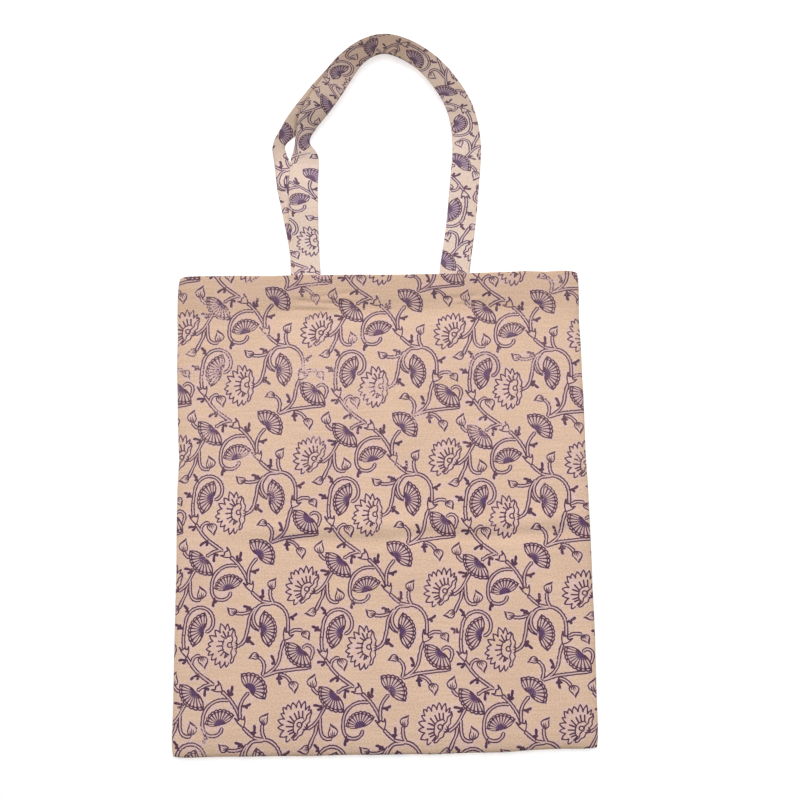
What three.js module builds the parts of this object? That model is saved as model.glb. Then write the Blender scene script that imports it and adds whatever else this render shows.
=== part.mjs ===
// A flat cotton shopping bag with a block-printed vine pattern, lying on its back panel with both
// handles thrown up past the mouth. Two panels sewn down the sides and along the bottom make the
// hollow body, each panel's top is turned in as a hem, and a folded strap is sewn inside each hem.
// Millimetres, +Z up. The origin is the centre of the back panel's underside, and +Y runs to the mouth.
import * as THREE from "three";

// Driving dimensions.
const BAG_WIDTH = 360;
const BAG_HEIGHT = 420;
const CLOTH = 1; // one layer of cloth
const HEM_DEPTH = 35; // cloth turned in at the mouth
const HEM = 2 * CLOTH; // the panel and its turned-in hem
const STRAP_WIDTH = 26.5;
const STRAP = 1.4; // a strap is cloth folded over and sewn flat
const STRAP_SEWN_IN = 30; // length of strap end inside the hem
const GAP = 0.3; // air between pieces that are sewn together
const REST_GAP = 0.5; // air under a strap that lies on another piece

// The relaxed front panel stands off the back one like a thin pillow.
const LOFT = 6.8; // rise from the seam to the middle
const SIDE_ROLL = 34; // distance over which the panel rolls down to a side seam
const BOTTOM_ROLL = 30; // the same at the bottom seam
const HEM_RAMP = 22; // length below the hem over which the side seam thickens to take the hems

// Places worked out from the sizes.
const HALF_WIDTH = BAG_WIDTH / 2;
const HALF_HEIGHT = BAG_HEIGHT / 2;
const HEM_LINE = HALF_HEIGHT - HEM_DEPTH; // lower edge of the hems
const STRAP_END = HALF_HEIGHT - STRAP_SEWN_IN;
const SEAM_TOP = CLOTH + GAP + CLOTH; // top of the front panel at a seam
const HEM_SEAM_TOP = HEM + GAP + HEM; // the same where both hems are sewn in
const HEM_STEP = 0.5; // run of the small step at the hem's lower edge

// Soft folds of the front panel. Each is a ridge, or a trough where its height is under 0, that lies
// along a line through (x, y) at an angle to +X and fades out over its width and towards its ends.
const FRONT_FOLDS = [
  { name: "half_fold", x: 40, y: -11, length: 330, angle: 1, width: 9, height: 1.5 },
  { name: "half_fold_foot", x: 55, y: -23, length: 300, angle: 1, width: 8, height: -0.6 },
  { name: "hem_trough", x: 10, y: 165, length: 330, angle: 0, width: 8, height: -1.2 },
  { name: "mouth_rise", x: 2, y: 205, length: 340, angle: 0, width: 18, height: 0.5 },
  { name: "left_slant", x: -112, y: 128, length: 150, angle: 47, width: 17, height: -1.3 },
  { name: "right_slant", x: 128, y: 138, length: 110, angle: -52, width: 18, height: -0.7 },
  { name: "upper_swell", x: -20, y: 110, length: 230, angle: 8, width: 42, height: 0.7 },
  { name: "lower_swell", x: 30, y: -120, length: 260, angle: -6, width: 50, height: 0.5 },
];

// Each handle from its left root to its right one: the middle of the strap in plan, its roll about its
// own length (over 0 lifts the edge inside the loop) and its curl, the arc that it bows through.
const BACK_HANDLE = [
  { place: "left_end", x: -65, y: STRAP_END, roll: 0, curl: 0 },
  { place: "left_mouth", x: -65, y: 208, roll: 0, curl: 0 },
  { place: "left_leg_low", x: -66.5, y: 232, roll: 0, curl: 0 },
  { place: "left_leg", x: -71.5, y: 262.5, roll: 0, curl: 10 },
  { place: "left_leg_high", x: -78.5, y: 293, roll: 0, curl: 60 },
  { place: "below_kink", x: -87, y: 319.5, roll: 0, curl: 190 },
  { place: "kink", x: -89.5, y: 336, roll: 0, curl: 240 },
  { place: "above_kink", x: -78.5, y: 352, roll: 0, curl: 150 },
  { place: "arm_low", x: -63, y: 368.5, roll: 3, curl: 60 },
  { place: "arm", x: -50, y: 385, roll: 8, curl: 20 },
  { place: "arm_high", x: -37, y: 400.5, roll: 12, curl: 5 },
  { place: "crown_left_low", x: -23.5, y: 416.5, roll: 15, curl: 0 },
  { place: "crown_left", x: -7, y: 428.5, roll: 17, curl: 0 },
  { place: "crown", x: 9, y: 432.5, roll: 17, curl: 0 },
  { place: "crown_right", x: 26, y: 428, roll: 17, curl: 0 },
  { place: "shoulder_high", x: 48, y: 413.5, roll: 16, curl: 0 },
  { place: "shoulder", x: 67, y: 390.5, roll: 14, curl: 0 },
  { place: "shoulder_low", x: 79, y: 365.5, roll: 12, curl: 5 },
  { place: "right_leg_high", x: 83.5, y: 334, roll: 9, curl: 10 },
  { place: "right_leg", x: 80.5, y: 295.5, roll: 6, curl: 10 },
  { place: "right_leg_low", x: 75.5, y: 250, roll: 3, curl: 5 },
  { place: "right_mouth", x: 69.5, y: 209, roll: 0, curl: 0 },
  { place: "right_end", x: 68, y: STRAP_END, roll: 0, curl: 0 },
];
const FRONT_HANDLE = [
  { place: "left_end", x: -65, y: STRAP_END, roll: 0, curl: 0 },
  { place: "left_mouth", x: -65, y: 208, roll: 0, curl: 0 },
  { place: "left_leg_low", x: -66, y: 232, roll: 0, curl: 0 },
  { place: "left_leg", x: -66.5, y: 262.5, roll: 0, curl: 10 },
  { place: "left_leg_high", x: -66.5, y: 295, roll: 0, curl: 60 },
  { place: "below_kink", x: -65.5, y: 319, roll: 0, curl: 165 },
  { place: "kink", x: -67.5, y: 337, roll: 0, curl: 200 },
  { place: "above_kink", x: -62, y: 354, roll: -3, curl: 110 },
  { place: "arm_low", x: -53, y: 369, roll: 2, curl: 55 },
  { place: "arm", x: -40, y: 389, roll: 8, curl: 20 },
  { place: "arm_high", x: -30, y: 405, roll: 12, curl: 5 },
  { place: "crown_left_low", x: -20.5, y: 417.5, roll: 15, curl: 0 },
  { place: "crown_left", x: -6.5, y: 428, roll: 17, curl: 0 },
  { place: "crown", x: 9, y: 432, roll: 17, curl: 0 },
  { place: "crown_right", x: 26, y: 427.5, roll: 17, curl: 0 },
  { place: "shoulder_high", x: 47.5, y: 413, roll: 16, curl: 0 },
  { place: "shoulder", x: 66.5, y: 390, roll: 14, curl: 0 },
  { place: "shoulder_low", x: 79, y: 365, roll: 12, curl: 5 },
  { place: "right_leg_high", x: 84, y: 334, roll: 9, curl: 10 },
  { place: "right_leg", x: 81, y: 295.5, roll: 6, curl: 10 },
  { place: "right_leg_low", x: 75.5, y: 250, roll: 3, curl: 5 },
  { place: "right_mouth", x: 69, y: 209, roll: 0, curl: 0 },
  { place: "right_end", x: 68, y: STRAP_END, roll: 0, curl: 0 },
];

// Mesh densities.
const EDGE_STEPS = [0, 2, 6, 12, 20, 30]; // stations near a seam, where the panel rolls down
const COLUMN_STEP = 17;
const ROW_STEP = 9.5;
const STRAP_STEPS = 80; // stations along a handle
const STRAP_COLUMNS = 6; // faces across a handle
const CLEARANCE_SHARES = 5; // places tested under each face across a strap
const SETTLE_REACH = 3; // stations that a lift is spread over when a strap lies on something
const SKY = 200; // a height above the whole bag

const { degToRad, smoothstep } = THREE.MathUtils;
const UP = new THREE.Vector3(0, 0, 1);

// Rises from 0 at a seam to 1 at the given distance from it, as a quarter ellipse.
function rollOver(distance, reach) {
  const left = 1 - Math.min(Math.max(distance / reach, 0), 1);
  return Math.sqrt(1 - left * left);
}

function foldHeight(fold, x, y) {
  const angle = degToRad(fold.angle);
  const along = (x - fold.x) * Math.cos(angle) + (y - fold.y) * Math.sin(angle);
  const across = (y - fold.y) * Math.cos(angle) - (x - fold.x) * Math.sin(angle);
  const fade = 1 - smoothstep(Math.abs(along), fold.length / 4, fold.length / 2);
  return fold.height * fade * Math.exp(-((across / fold.width) ** 2));
}

// Top face of the front panel.
function frontTop(x, y) {
  const seam = THREE.MathUtils.lerp(SEAM_TOP, HEM_SEAM_TOP, smoothstep(y, HEM_LINE - HEM_RAMP, HEM_LINE));
  const sides = rollOver(HALF_WIDTH - Math.abs(x), SIDE_ROLL);
  const bottom = rollOver(y + HALF_HEIGHT, BOTTOM_ROLL);
  const folds = FRONT_FOLDS.reduce((sum, fold) => sum + foldHeight(fold, x, y), 0);
  return seam + sides * bottom * (LOFT + SEAM_TOP - seam + folds);
}

// Stations from low to high: the given steps in from each end, then even ones about a step apart.
function stations(low, high, lowSteps, highSteps, step) {
  const first = low + lowSteps.at(-1);
  const last = high - highSteps.at(-1);
  const count = Math.ceil((last - first) / step);
  const middle = Array.from({ length: count - 1 }, (_, i) => first + ((last - first) * (i + 1)) / count);
  return [...lowSteps.map((s) => low + s), ...middle, ...highSteps.map((s) => high - s).reverse()];
}

// A closed sheet between two grids of points: tops[row][column] above undersides[row][column].
function sheet(tops, undersides) {
  const rows = tops.length;
  const columns = tops[0].length;
  const points = [...tops.flat(), ...undersides.flat()];
  const top = (r, c) => r * columns + c;
  const under = (r, c) => (rows + r) * columns + c;
  const triangles = [];
  const quad = (a, b, c, d) => triangles.push(a, b, c, a, c, d);
  for (let r = 0; r < rows - 1; r += 1) {
    for (let c = 0; c < columns - 1; c += 1) {
      quad(top(r, c), top(r, c + 1), top(r + 1, c + 1), top(r + 1, c));
      quad(under(r, c), under(r + 1, c), under(r + 1, c + 1), under(r, c + 1));
    }
    quad(under(r, 0), top(r, 0), top(r + 1, 0), under(r + 1, 0));
    quad(top(r, columns - 1), under(r, columns - 1), under(r + 1, columns - 1), top(r + 1, columns - 1));
  }
  for (let c = 0; c < columns - 1; c += 1) {
    quad(under(0, c), under(0, c + 1), top(0, c + 1), top(0, c));
    quad(top(rows - 1, c), top(rows - 1, c + 1), under(rows - 1, c + 1), under(rows - 1, c));
  }
  const geometry = new THREE.BufferGeometry().setFromPoints(points).setIndex(triangles);
  geometry.computeVertexNormals();
  return geometry;
}

// The front panel: one wall that follows frontTop, doubled by the hem on its inner face.
function frontPanelGeometry() {
  const columns = stations(-HALF_WIDTH, HALF_WIDTH, EDGE_STEPS, EDGE_STEPS, COLUMN_STEP);
  const rows = [
    ...stations(-HALF_HEIGHT, HEM_LINE - HEM_STEP, EDGE_STEPS, [0], ROW_STEP),
    ...stations(HEM_LINE, HALF_HEIGHT, [0], [0], ROW_STEP),
  ];
  const wall = (y) => (y < HEM_LINE ? CLOTH : HEM);
  const tops = rows.map((y) => columns.map((x) => new THREE.Vector3(x, y, frontTop(x, y))));
  const undersides = tops.map((row) => row.map((p) => p.clone().setZ(p.z - wall(p.y))));
  return sheet(tops, undersides);
}

// The back panel lies flat on what carries the bag, with its hem turned in on top.
function backPanelGeometry() {
  const profile = new THREE.Shape([
    new THREE.Vector2(-HALF_HEIGHT, 0),
    new THREE.Vector2(HALF_HEIGHT, 0),
    new THREE.Vector2(HALF_HEIGHT, HEM),
    new THREE.Vector2(HEM_LINE, HEM),
    new THREE.Vector2(HEM_LINE - HEM_STEP, CLOTH),
    new THREE.Vector2(-HALF_HEIGHT, CLOTH),
  ]);
  const geometry = new THREE.ExtrudeGeometry(profile, { depth: BAG_WIDTH, bevelEnabled: false });
  // The profile's axes become Y and Z, and the extrusion runs along X.
  const axes = new THREE.Matrix4().makeBasis(new THREE.Vector3(0, 1, 0), UP, new THREE.Vector3(1, 0, 0));
  return geometry.applyMatrix4(axes).translate(-HALF_WIDTH, 0, 0);
}

// One cross-section of a strap: its top and underside points from the outer edge to the inner one.
function strapSection(middle, heading, roll, curl) {
  const side = heading.clone().cross(UP);
  const across = side.clone().multiplyScalar(Math.cos(roll)).addScaledVector(UP, Math.sin(roll));
  const normal = UP.clone().multiplyScalar(Math.cos(roll)).addScaledVector(side, -Math.sin(roll));
  const section = { tops: [], undersides: [] };
  for (let c = 0; c <= STRAP_COLUMNS; c += 1) {
    const share = c / STRAP_COLUMNS - 0.5;
    const turn = share * curl;
    const radius = curl > 0 ? STRAP_WIDTH / curl : 0;
    const offset = curl > 0 ? radius * Math.sin(turn) : share * STRAP_WIDTH;
    const drop = radius * (1 - Math.cos(turn));
    const point = middle.clone().addScaledVector(across, offset).addScaledVector(normal, -drop);
    const facing = normal.clone().multiplyScalar(Math.cos(turn)).addScaledVector(across, Math.sin(turn));
    section.tops.push(point.clone().addScaledVector(facing, STRAP / 2));
    section.undersides.push(point.addScaledVector(facing, -STRAP / 2));
  }
  return section;
}

// Sections of a strap along its table's smooth line, not yet at their heights.
function strapSections(table) {
  const line = new THREE.CatmullRomCurve3(table.map((row) => new THREE.Vector3(row.x, row.y, 0)));
  const turns = new THREE.CatmullRomCurve3(table.map((row) => new THREE.Vector3(row.roll, row.curl, 0)));
  return Array.from({ length: STRAP_STEPS + 1 }, (_, i) => {
    const at = line.getUtoTmapping(i / STRAP_STEPS);
    const turn = turns.getPoint(at);
    const curl = degToRad(Math.max(turn.y, 0));
    return strapSection(line.getPoint(at), line.getTangent(at), degToRad(turn.x), curl);
  });
}

// Height that a point rests at: the floor at 0, or the air gap above the highest mesh under it.
function heightUnder(point, meshes) {
  const ray = new THREE.Raycaster(new THREE.Vector3(point.x, point.y, SKY), UP.clone().negate());
  const hits = ray.intersectObjects(meshes);
  return hits.length > 0 ? hits[0].point.z + REST_GAP : 0;
}

// How far a section has to rise to clear the meshes, tested between its corners as well.
function liftNeeded({ undersides, tops }, meshes) {
  const shares = Array.from({ length: CLEARANCE_SHARES }, (_, i) => i / CLEARANCE_SHARES);
  const between = undersides.slice(1).flatMap((p, i) => shares.map((s) => p.clone().lerp(undersides[i], s)));
  return Math.max(...[undersides[0], ...between, ...tops].map((p) => heightUnder(p, meshes) - p.z));
}

// Lifts each section until it clears what lies under it, with each lift spread to its neighbours.
function layOn(sections, meshes) {
  const lifts = sections.map((section) => liftNeeded(section, meshes));
  const near = (list, i) => list.slice(Math.max(i - SETTLE_REACH, 0), i + SETTLE_REACH + 1);
  const highest = lifts.map((_, i) => Math.max(...near(lifts, i)));
  sections.forEach((section, i) => {
    const around = near(highest, i);
    const lift = around.reduce((sum, h) => sum + h, 0) / around.length;
    [...section.tops, ...section.undersides].forEach((p) => p.setZ(p.z + lift));
  });
  return sections;
}

function handleGeometry(table, meshesUnder) {
  const sections = layOn(strapSections(table), meshesUnder);
  // Sections run outer edge to inner edge, and the sheet's columns do too.
  return sheet(
    sections.map((s) => s.tops),
    sections.map((s) => s.undersides),
  );
}

const printedCotton = new THREE.MeshStandardMaterial({ color: 0xd9b69f, roughness: 0.92, metalness: 0 });
const printedStrap = new THREE.MeshStandardMaterial({ color: 0xdcbba6, roughness: 0.92, metalness: 0 });

function piece(name, geometry, material) {
  const mesh = new THREE.Mesh(geometry, material);
  mesh.name = name;
  mesh.updateMatrixWorld();
  return mesh;
}

const backPanel = piece("back_panel", backPanelGeometry(), printedCotton);
const frontPanel = piece("front_panel", frontPanelGeometry(), printedCotton);
const backHandle = piece("back_handle", handleGeometry(BACK_HANDLE, [backPanel]), printedStrap);
const frontHandle = piece("front_handle", handleGeometry(FRONT_HANDLE, [backPanel, backHandle]), printedStrap);

const bag = new THREE.Group();
bag.add(backPanel, frontPanel, backHandle, frontHandle);

export default bag;
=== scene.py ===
import math

import bpy
import numpy as np
from mathutils import Matrix, Vector
from mathutils.bvhtree import BVHTree
from mathutils.geometry import delaunay_2d_cdt


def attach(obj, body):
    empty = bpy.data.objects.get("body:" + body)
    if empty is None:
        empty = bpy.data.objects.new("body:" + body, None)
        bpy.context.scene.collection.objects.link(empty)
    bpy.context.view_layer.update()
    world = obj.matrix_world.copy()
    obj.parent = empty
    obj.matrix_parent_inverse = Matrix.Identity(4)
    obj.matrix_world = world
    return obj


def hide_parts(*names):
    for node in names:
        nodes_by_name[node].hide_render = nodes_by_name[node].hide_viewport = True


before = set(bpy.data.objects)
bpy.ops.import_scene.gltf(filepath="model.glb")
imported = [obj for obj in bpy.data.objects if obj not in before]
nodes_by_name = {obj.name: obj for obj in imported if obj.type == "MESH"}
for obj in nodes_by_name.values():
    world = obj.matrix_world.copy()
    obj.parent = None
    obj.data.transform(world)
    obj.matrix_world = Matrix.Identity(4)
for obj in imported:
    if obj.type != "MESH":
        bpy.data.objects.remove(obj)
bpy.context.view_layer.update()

MM = 0.001  # lengths below are in millimetres

# The bag.
BAG_WIDTH = 360
BAG_HEIGHT = 420
CLOTH = 1.0
HEM_DEPTH = 35
HEM = 2 * CLOTH
GAP = 0.3
STRAP_WIDTH = 26.5
STRAP = 1.4
LOFT = 6.8  # rise of the front panel over its seams
SIDE_ROLL = 34
BOTTOM_ROLL = 30
HEM_RAMP = 22
HALF_WIDTH = BAG_WIDTH / 2
HALF_HEIGHT = BAG_HEIGHT / 2
HEM_LINE = HALF_HEIGHT - HEM_DEPTH
SEAM_TOP = CLOTH + GAP + CLOTH
HEM_SEAM_TOP = HEM + GAP + HEM
HEM_STEP = 0.5
SEAM_ROUND = 1.6  # reach of the rounding at a sewn edge
MOUTH_ROUND = 1.2  # reach of the rounding at the folded mouth
EASE_REACH = 30  # how far in from its edges a panel is drawn in or spread
EDGE_WAVE, EDGE_WAVE_LENGTH = 0.9, 55
CORNER_PULL = 1.5
CORNER_REACH = 5
# How far the cloth lies outside its straight edges. Columns: y, left, right.
SIDE_SPREAD = [
    (-210, 1.0, 1.6),
    (-170, 0.7, 1.6),
    (-137, 0.3, 2.4),
    (-60, -0.5, 2.6),
    (20, -0.5, 2.3),
    (45, -1.8, 1.6),
    (75, -0.1, 1.5),
    (100, 0.4, 1.9),
    (129, 1.4, 1.6),
    (165, 1.2, 0.4),
    (184, 1.2, 1.8),
    (210, 1.2, 2.1),
]
# Columns: x, bottom, top.
END_SPREAD = [
    (-180, 1.5, 0.9),
    (-150, 1.2, 0.0),
    (-105, 1.2, -0.7),
    (-70, 1.7, -0.4),
    (-37, 1.5, -0.9),
    (0, 1.7, -1.6),
    (40, 2.4, -1.5),
    (64, 1.8, -1.6),
    (98, 1.3, -1.7),
    (118, 0.2, -1.0),
    (134, -0.2, -0.3),
    (150, -0.6, -1.5),
    (168, 0.0, 0.0),
    (180, 0.3, 0.0),
]
STITCH_LINE = HEM_LINE + 2.2  # the row of stitches that holds the hem
FRONT_DENT, BACK_DENT, DENT_REACH = 0.15, 0.30, 1.3  # how far that row sinks into a panel
PUCKER, PUCKER_LENGTH, PUCKER_REACH = 0.12, 8, 7  # puckers beside the row
PUCKER_STRETCH = 0.35  # they run out from the row
FOLD_WANDER, WANDER_LENGTH = 2.2, 70  # how far the folds stray from straight lines
# Small waves of the relaxed cloth. Columns: height, length, turn.
RELAXED = [(0.16, 46, 0.4), (0.07, 17, 1.1), (0.03, 7, 2.0)]

# Soft folds of the front panel: a ridge, or a trough under 0, along a line through (x, y).
# Columns: x, y, length, angle, width, height.
FRONT_FOLDS = [
    (40, -17, 440, 1, 8, 1.6),
    (60, -29, 400, 1, 5.5, -1.3),
    (10, 174, 330, 0, 8, -1.4),
    (2, 205, 340, 0, 16, 0.8),
    (-112, 128, 150, 47, 17, -1.3),
    (128, 138, 110, -52, 18, -0.7),
    (-20, 110, 230, 8, 42, 0.7),
    (30, -120, 260, -6, 50, 0.5),
    (-50, 184, 64, -3, 2.4, -1.5),
    (-42, 191, 50, 4, 2.0, -0.9),
    (-60, 177, 46, 2, 2.2, -0.9),
    (74, 187, 46, 2, 2.4, -1.3),
    (82, 180, 38, -3, 2.0, -0.8),
    (20, 181, 130, 1, 2.8, -0.35),
    (-140, 150, 70, 24, 3.0, 0.35),
    (-95, 62, 60, -14, 2.6, 0.25),
    (88, 38, 56, -18, 2.6, 0.3),
    (40, 100, 70, 6, 2.8, 0.25),
    (-20, -70, 80, 10, 3.0, 0.25),
    (110, -120, 60, -22, 2.8, 0.25),
]
NARROW_FOLD = 9  # folds no wider than this get their own rows of points

# The handles from left root to right root. Columns: x, y, roll, the solid's curl, the cloth's curl.
BACK_HANDLE = [
    (-65, 180, 0, 0, 0),
    (-65, 208, 0, 0, 0),
    (-66.5, 232, 0, 0, 0),
    (-71.5, 262.5, 0, 10, 12),
    (-78.5, 293, 0, 60, 75),
    (-87, 319.5, 0, 190, 237),
    (-89.5, 336, 0, 240, 300),
    (-78.5, 352, 0, 150, 187),
    (-63, 368.5, 3, 60, 75),
    (-50, 385, 8, 20, 25),
    (-37, 400.5, 12, 5, 6),
    (-23.5, 416.5, 15, 0, 0),
    (-7, 428.5, 17, 0, 0),
    (9, 432.5, 17, 0, 0),
    (26, 428, 17, 0, 0),
    (48, 413.5, 16, 0, 0),
    (67, 390.5, 14, 0, 0),
    (79, 365.5, 12, 5, 6),
    (83.5, 334, 9, 10, 12),
    (80.5, 295.5, 6, 10, 12),
    (75.5, 250, 3, 5, 6),
    (69.5, 209, 0, 0, 0),
    (68, 180, 0, 0, 0),
]
FRONT_HANDLE = [
    (-65, 180, 0, 0, 0),
    (-65, 208, 0, 0, 0),
    (-66, 232, 0, 0, 0),
    (-66.5, 262.5, 0, 10, 5),
    (-66.5, 295, 0, 60, 15),
    (-65.5, 319, 0, 165, 50),
    (-67.5, 337, 0, 200, 250),
    (-62, 354, -3, 110, 156),
    (-53, 369, 2, 55, 78),
    (-40, 389, 8, 20, 28),
    (-30, 405, 12, 5, 7),
    (-20.5, 417.5, 15, 0, 0),
    (-6.5, 428, 17, 0, 0),
    (9, 432, 17, 0, 0),
    (26, 427.5, 17, 0, 0),
    (47.5, 413, 16, 0, 0),
    (66.5, 390, 14, 0, 0),
    (79, 365, 12, 5, 7),
    (84, 334, 9, 10, 14),
    (81, 295.5, 6, 10, 14),
    (75.5, 250, 3, 5, 7),
    (69, 209, 0, 0, 0),
    (68, 180, 0, 0, 0),
]

# The block's repeat on the cloth, and how the cloth of a handle was cut from it.
REPEAT_ACROSS = np.array([118.81, -3.71])
REPEAT_UP = np.array([6.78, 113.41])
CHART = 120.0  # chart units to a repeat, x to the right and y down
# A handle's cloth is bunched unevenly along its length and cut a little off the square. Columns: the
# distance along the handle, the print's place there, the turn of the cut, the bunching across.
# The front handle's print jumps sideways in the pleat at its kink.
FRONT_STRAP_PRINT = [
    (-200, 54.0, -360.0, -8, 0.90),
    (0, 91.6, -92.5, -8, 0.90),
    (60, 101.5, -12.3, -8, 0.90),
    (97, 113.5, 37.0, -8, 0.90),
    (120, 131.0, 66.0, -8, 0.90),
    (142.5, 131.0, 95.0, -6, 0.90),
    (144.5, 88.0, 97.5, -4, 0.90),
    (157, 87.0, 115.6, -4, 0.90),
    (198, 84.0, 173.1, -3, 0.92),
    (232, 103.0, 229.0, -3, 0.92),
    (272, 98.7, 286.5, -3, 0.95),
    (320, 101.3, 342.4, -3, 0.95),
    (365, 101.1, 399.9, -3, 0.95),
    (400, 107.3, 455.8, -3, 0.95),
    (438, 108.2, 513.3, -3, 0.95),
    (485, 110.2, 569.2, -3, 0.95),
    (528, 111.2, 620.3, -3, 0.95),
    (800, 128.2, 943.6, -3, 0.95),
]
BACK_STRAP_PRINT = [
    (-200, 44.6, -245.8, 2, 0.95),
    (800, 4.0, 916.3, 2, 0.95),
]

# What an outline of the block leaves on the cloth, painted one over another: bare cloth, ink,
# a flower's middle, its petals, their roots, a stem's inside.
BARE, INK, POOL, WASH, STAIN, HOLLOW = range(6)

# Widths of the carved lines, in chart units.
LINE = 1.23
STEM = 3.65
LINE_STEP = 1.95

# Stems, each drawn as two outlines. Points are (x, y) on the chart and may run past its edges.
STEMS = [
    [(41.5, 4), (40, 10), (39, 15), (38.5, 20), (37, 25), (34, 29.5), (30, 33), (26, 35.5)],
    [(26, 35.7), (32, 33.5), (37, 31.8), (43, 30.8), (50, 29.8), (54, 29.1), (60, 28.5), (65.5, 27.4)],
    [(40, 34), (44, 35.2), (47, 37.5), (48.8, 39.8)],
    [(21.2, 19.5), (24, 22.2), (25.7, 26.2), (25.6, 31), (24.8, 34.8)],
    [(13.3, 51), (10, 55.5), (8, 60), (7.2, 65), (7.5, 70), (8, 74)],
    [(111.2, 50), (116, 54.5), (120, 59), (124, 65), (126.5, 70), (127.8, 74)],
    [(11.2, 81.2), (14.5, 84.2), (17.5, 86.8), (21, 89.3), (25, 90.3), (28.5, 90.5)],
    [(27.1, 79), (27.3, 83.3), (28.3, 87.2), (30, 90)],
    [(28.5, 90.7), (33, 91.3), (37.2, 93.5), (40.5, 96.8), (42.8, 101), (44, 105.5), (44.3, 111),
     (44.5, 115.5)],
    [(28, 91.5), (20, 92.5), (16, 96.5), (14, 101.5), (14, 106), (15.8, 110.5), (19, 113.8)],
    [(15, 95.5), (12.2, 100), (10.5, 105), (10, 111), (9.3, 116), (8.5, 120), (7.5, 124), (5.2, 127.6),
     (2, 129.6)],
    [(119.3, 100.5), (124, 100.7), (128.5, 99.7), (132.5, 98), (135, 95.5)],
    [(74, 120), (74.2, 115), (74.6, 110), (75.5, 105), (78, 100.5), (81.2, 97.5), (85.5, 95.8),
     (89.5, 95.7)],
    [(89.5, 95.7), (93.7, 97.5), (96.8, 100.5), (98.8, 104.5), (99.5, 108.5), (98.7, 113), (96.5, 116),
     (94, 117.5)],
    [(73.8, 0), (74, 5), (74.6, 10), (75, 12)],
    [(78.2, 20.5), (81.2, 24.5), (84.5, 29), (88.5, 33.2), (93, 37), (98, 40.5), (103, 44)],
    [(90.3, 49), (94, 46.3), (98.5, 44.2), (101, 43.5)],
    [(68.5, 45.8), (70.5, 48.5), (73.5, 50.7)],
    [(83, 25.5), (84, 21.5), (87, 19), (89.5, 18.8)],
    [(66.5, 81), (70.5, 78), (73.5, 74.5), (76, 70), (78, 65.5), (79.5, 62.5)],
    [(73.5, 78.5), (72.7, 84), (70.8, 88.5), (67.8, 96.3)],
    [(76.2, 72), (76.5, 78), (77.5, 84), (79.5, 87.5), (83, 89.3), (86.2, 89)],
    [(116.5, 57.5), (112, 57.3), (107, 58.2), (102.5, 60.8), (99, 64.5), (96.8, 69.5), (96, 75),
     (96.2, 80.5)],
    [(96.2, 80.5), (97.5, 84.5), (100.5, 87.7), (105, 88.7), (109, 87.8), (112, 85), (112.8, 82)],
    [(58.5, 10), (60, 8.5), (62.5, 8), (65.3, 9.5), (66.8, 12.5), (66.5, 16.5), (65, 20.5)],
    [(46.5, 116.5), (50, 114.6), (53, 114.4), (56.3, 114.7)],
]
THORN = [(11.3, 108.3), (12.5, 111), (15, 114), (19.5, 116)]  # a single line in a fork
THORN_LINE = 1.2  # its width, as a share of a line's

# Cups that a stem grows out of. Columns: one lip, the other lip, the point they close to.
CUPS = [
    ((41.5, 112.5), (49.5, 118.8), (41.5, 124)),
    ((70.7, 11.5), (79.2, 10.5), (78.2, 20.5)),
    ((107, 40.7), (101.8, 48.5), (111.3, 50)),
    ((3.2, 73), (11.5, 71.2), (11.2, 81.2)),
]
CUP_BULGE = 0.2  # how far a cup's sides swell, as a share of half its width
CUP_DIPS = [(0.25, 0.28), (0.5, 0.12), (0.75, 0.28)]  # its wavy mouth: share across, share of its depth
CUP_MOUTH = 1.25  # width of the mouth's line, as a share of a line's

# Fan flowers. Columns: base, one corner, the other corner, radius half way round.
FANS = [
    ((57.5, 12), (43.2, 5.7), (66.2, 27.5), 14.8),
    ((14, 47.5), (6.2, 34), (28.5, 56.2), 15.0),
    ((88.2, 50.8), (73.5, 44.2), (96.2, 66.8), 14.4),
    ((110.5, 79), (98.2, 78.5), (122.8, 70.3), 13.8),
    ((21.3, 114.5), (23, 97.5), (29, 130.2), 13.9),
    ((91.5, 115.5), (91.5, 99.8), (83, 131), 14.1),
]
FAN_PETALS = 9
FAN_RIB = 1.2  # ink between two petals
FAN_KNOT, FAN_KNOT_REACH = 2.5, 0.12  # radius of the solid middle, and where it lies
# The parts of a fan. Its rim, corners and reaches are shares of its radius, swells and slits are
# shares of its spread, and ribs and least widths are in chart units.
FAN_RIM, FAN_SCALLOP, FAN_CORNER = 0.955, 0.045, 1.03
FAN_SWELL, FAN_SWELL_REACHES = [0.26, 0.18, 0.11, 0.04], [0.17, 0.34, 0.6, 0.85]
FAN_SLIT, FAN_SLIT_REACHES = [0.03, 0.085, 0.055, 0.015, 0.012], [0.34, 0.40, 0.62, 0.82, 0.62]
PETAL_REACHES, PETAL_ROOT, PETAL_TIP = [0.28, 0.47, 0.67, 0.76], 0.19, 0.80
PETAL_RIBS = [0.55, 0.75, 0.95, 1.0]  # the rib beside a petal, as shares of its full width
PETAL_LEAST, PETAL_TAPER = 0.4, 0.85  # a petal's least width, and how much its end is narrowed
BEAD_REACH, BEAD_RIB, BEAD_LEAST = 0.88, 1.4, 0.75  # the light scallop above a petal
BEAD, BEAD_REACHES = [-1, -0.65, 0, 0.65, 1, 0], [0.868, 0.898, 0.910, 0.898, 0.868, 0.850]
STAIN_REACH = (0.27, 0.36)  # where the stain at a petal's root widens and ends
PETAL_BULGE = 0.13  # how far a daisy petal's sides swell, as a share of its width

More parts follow.
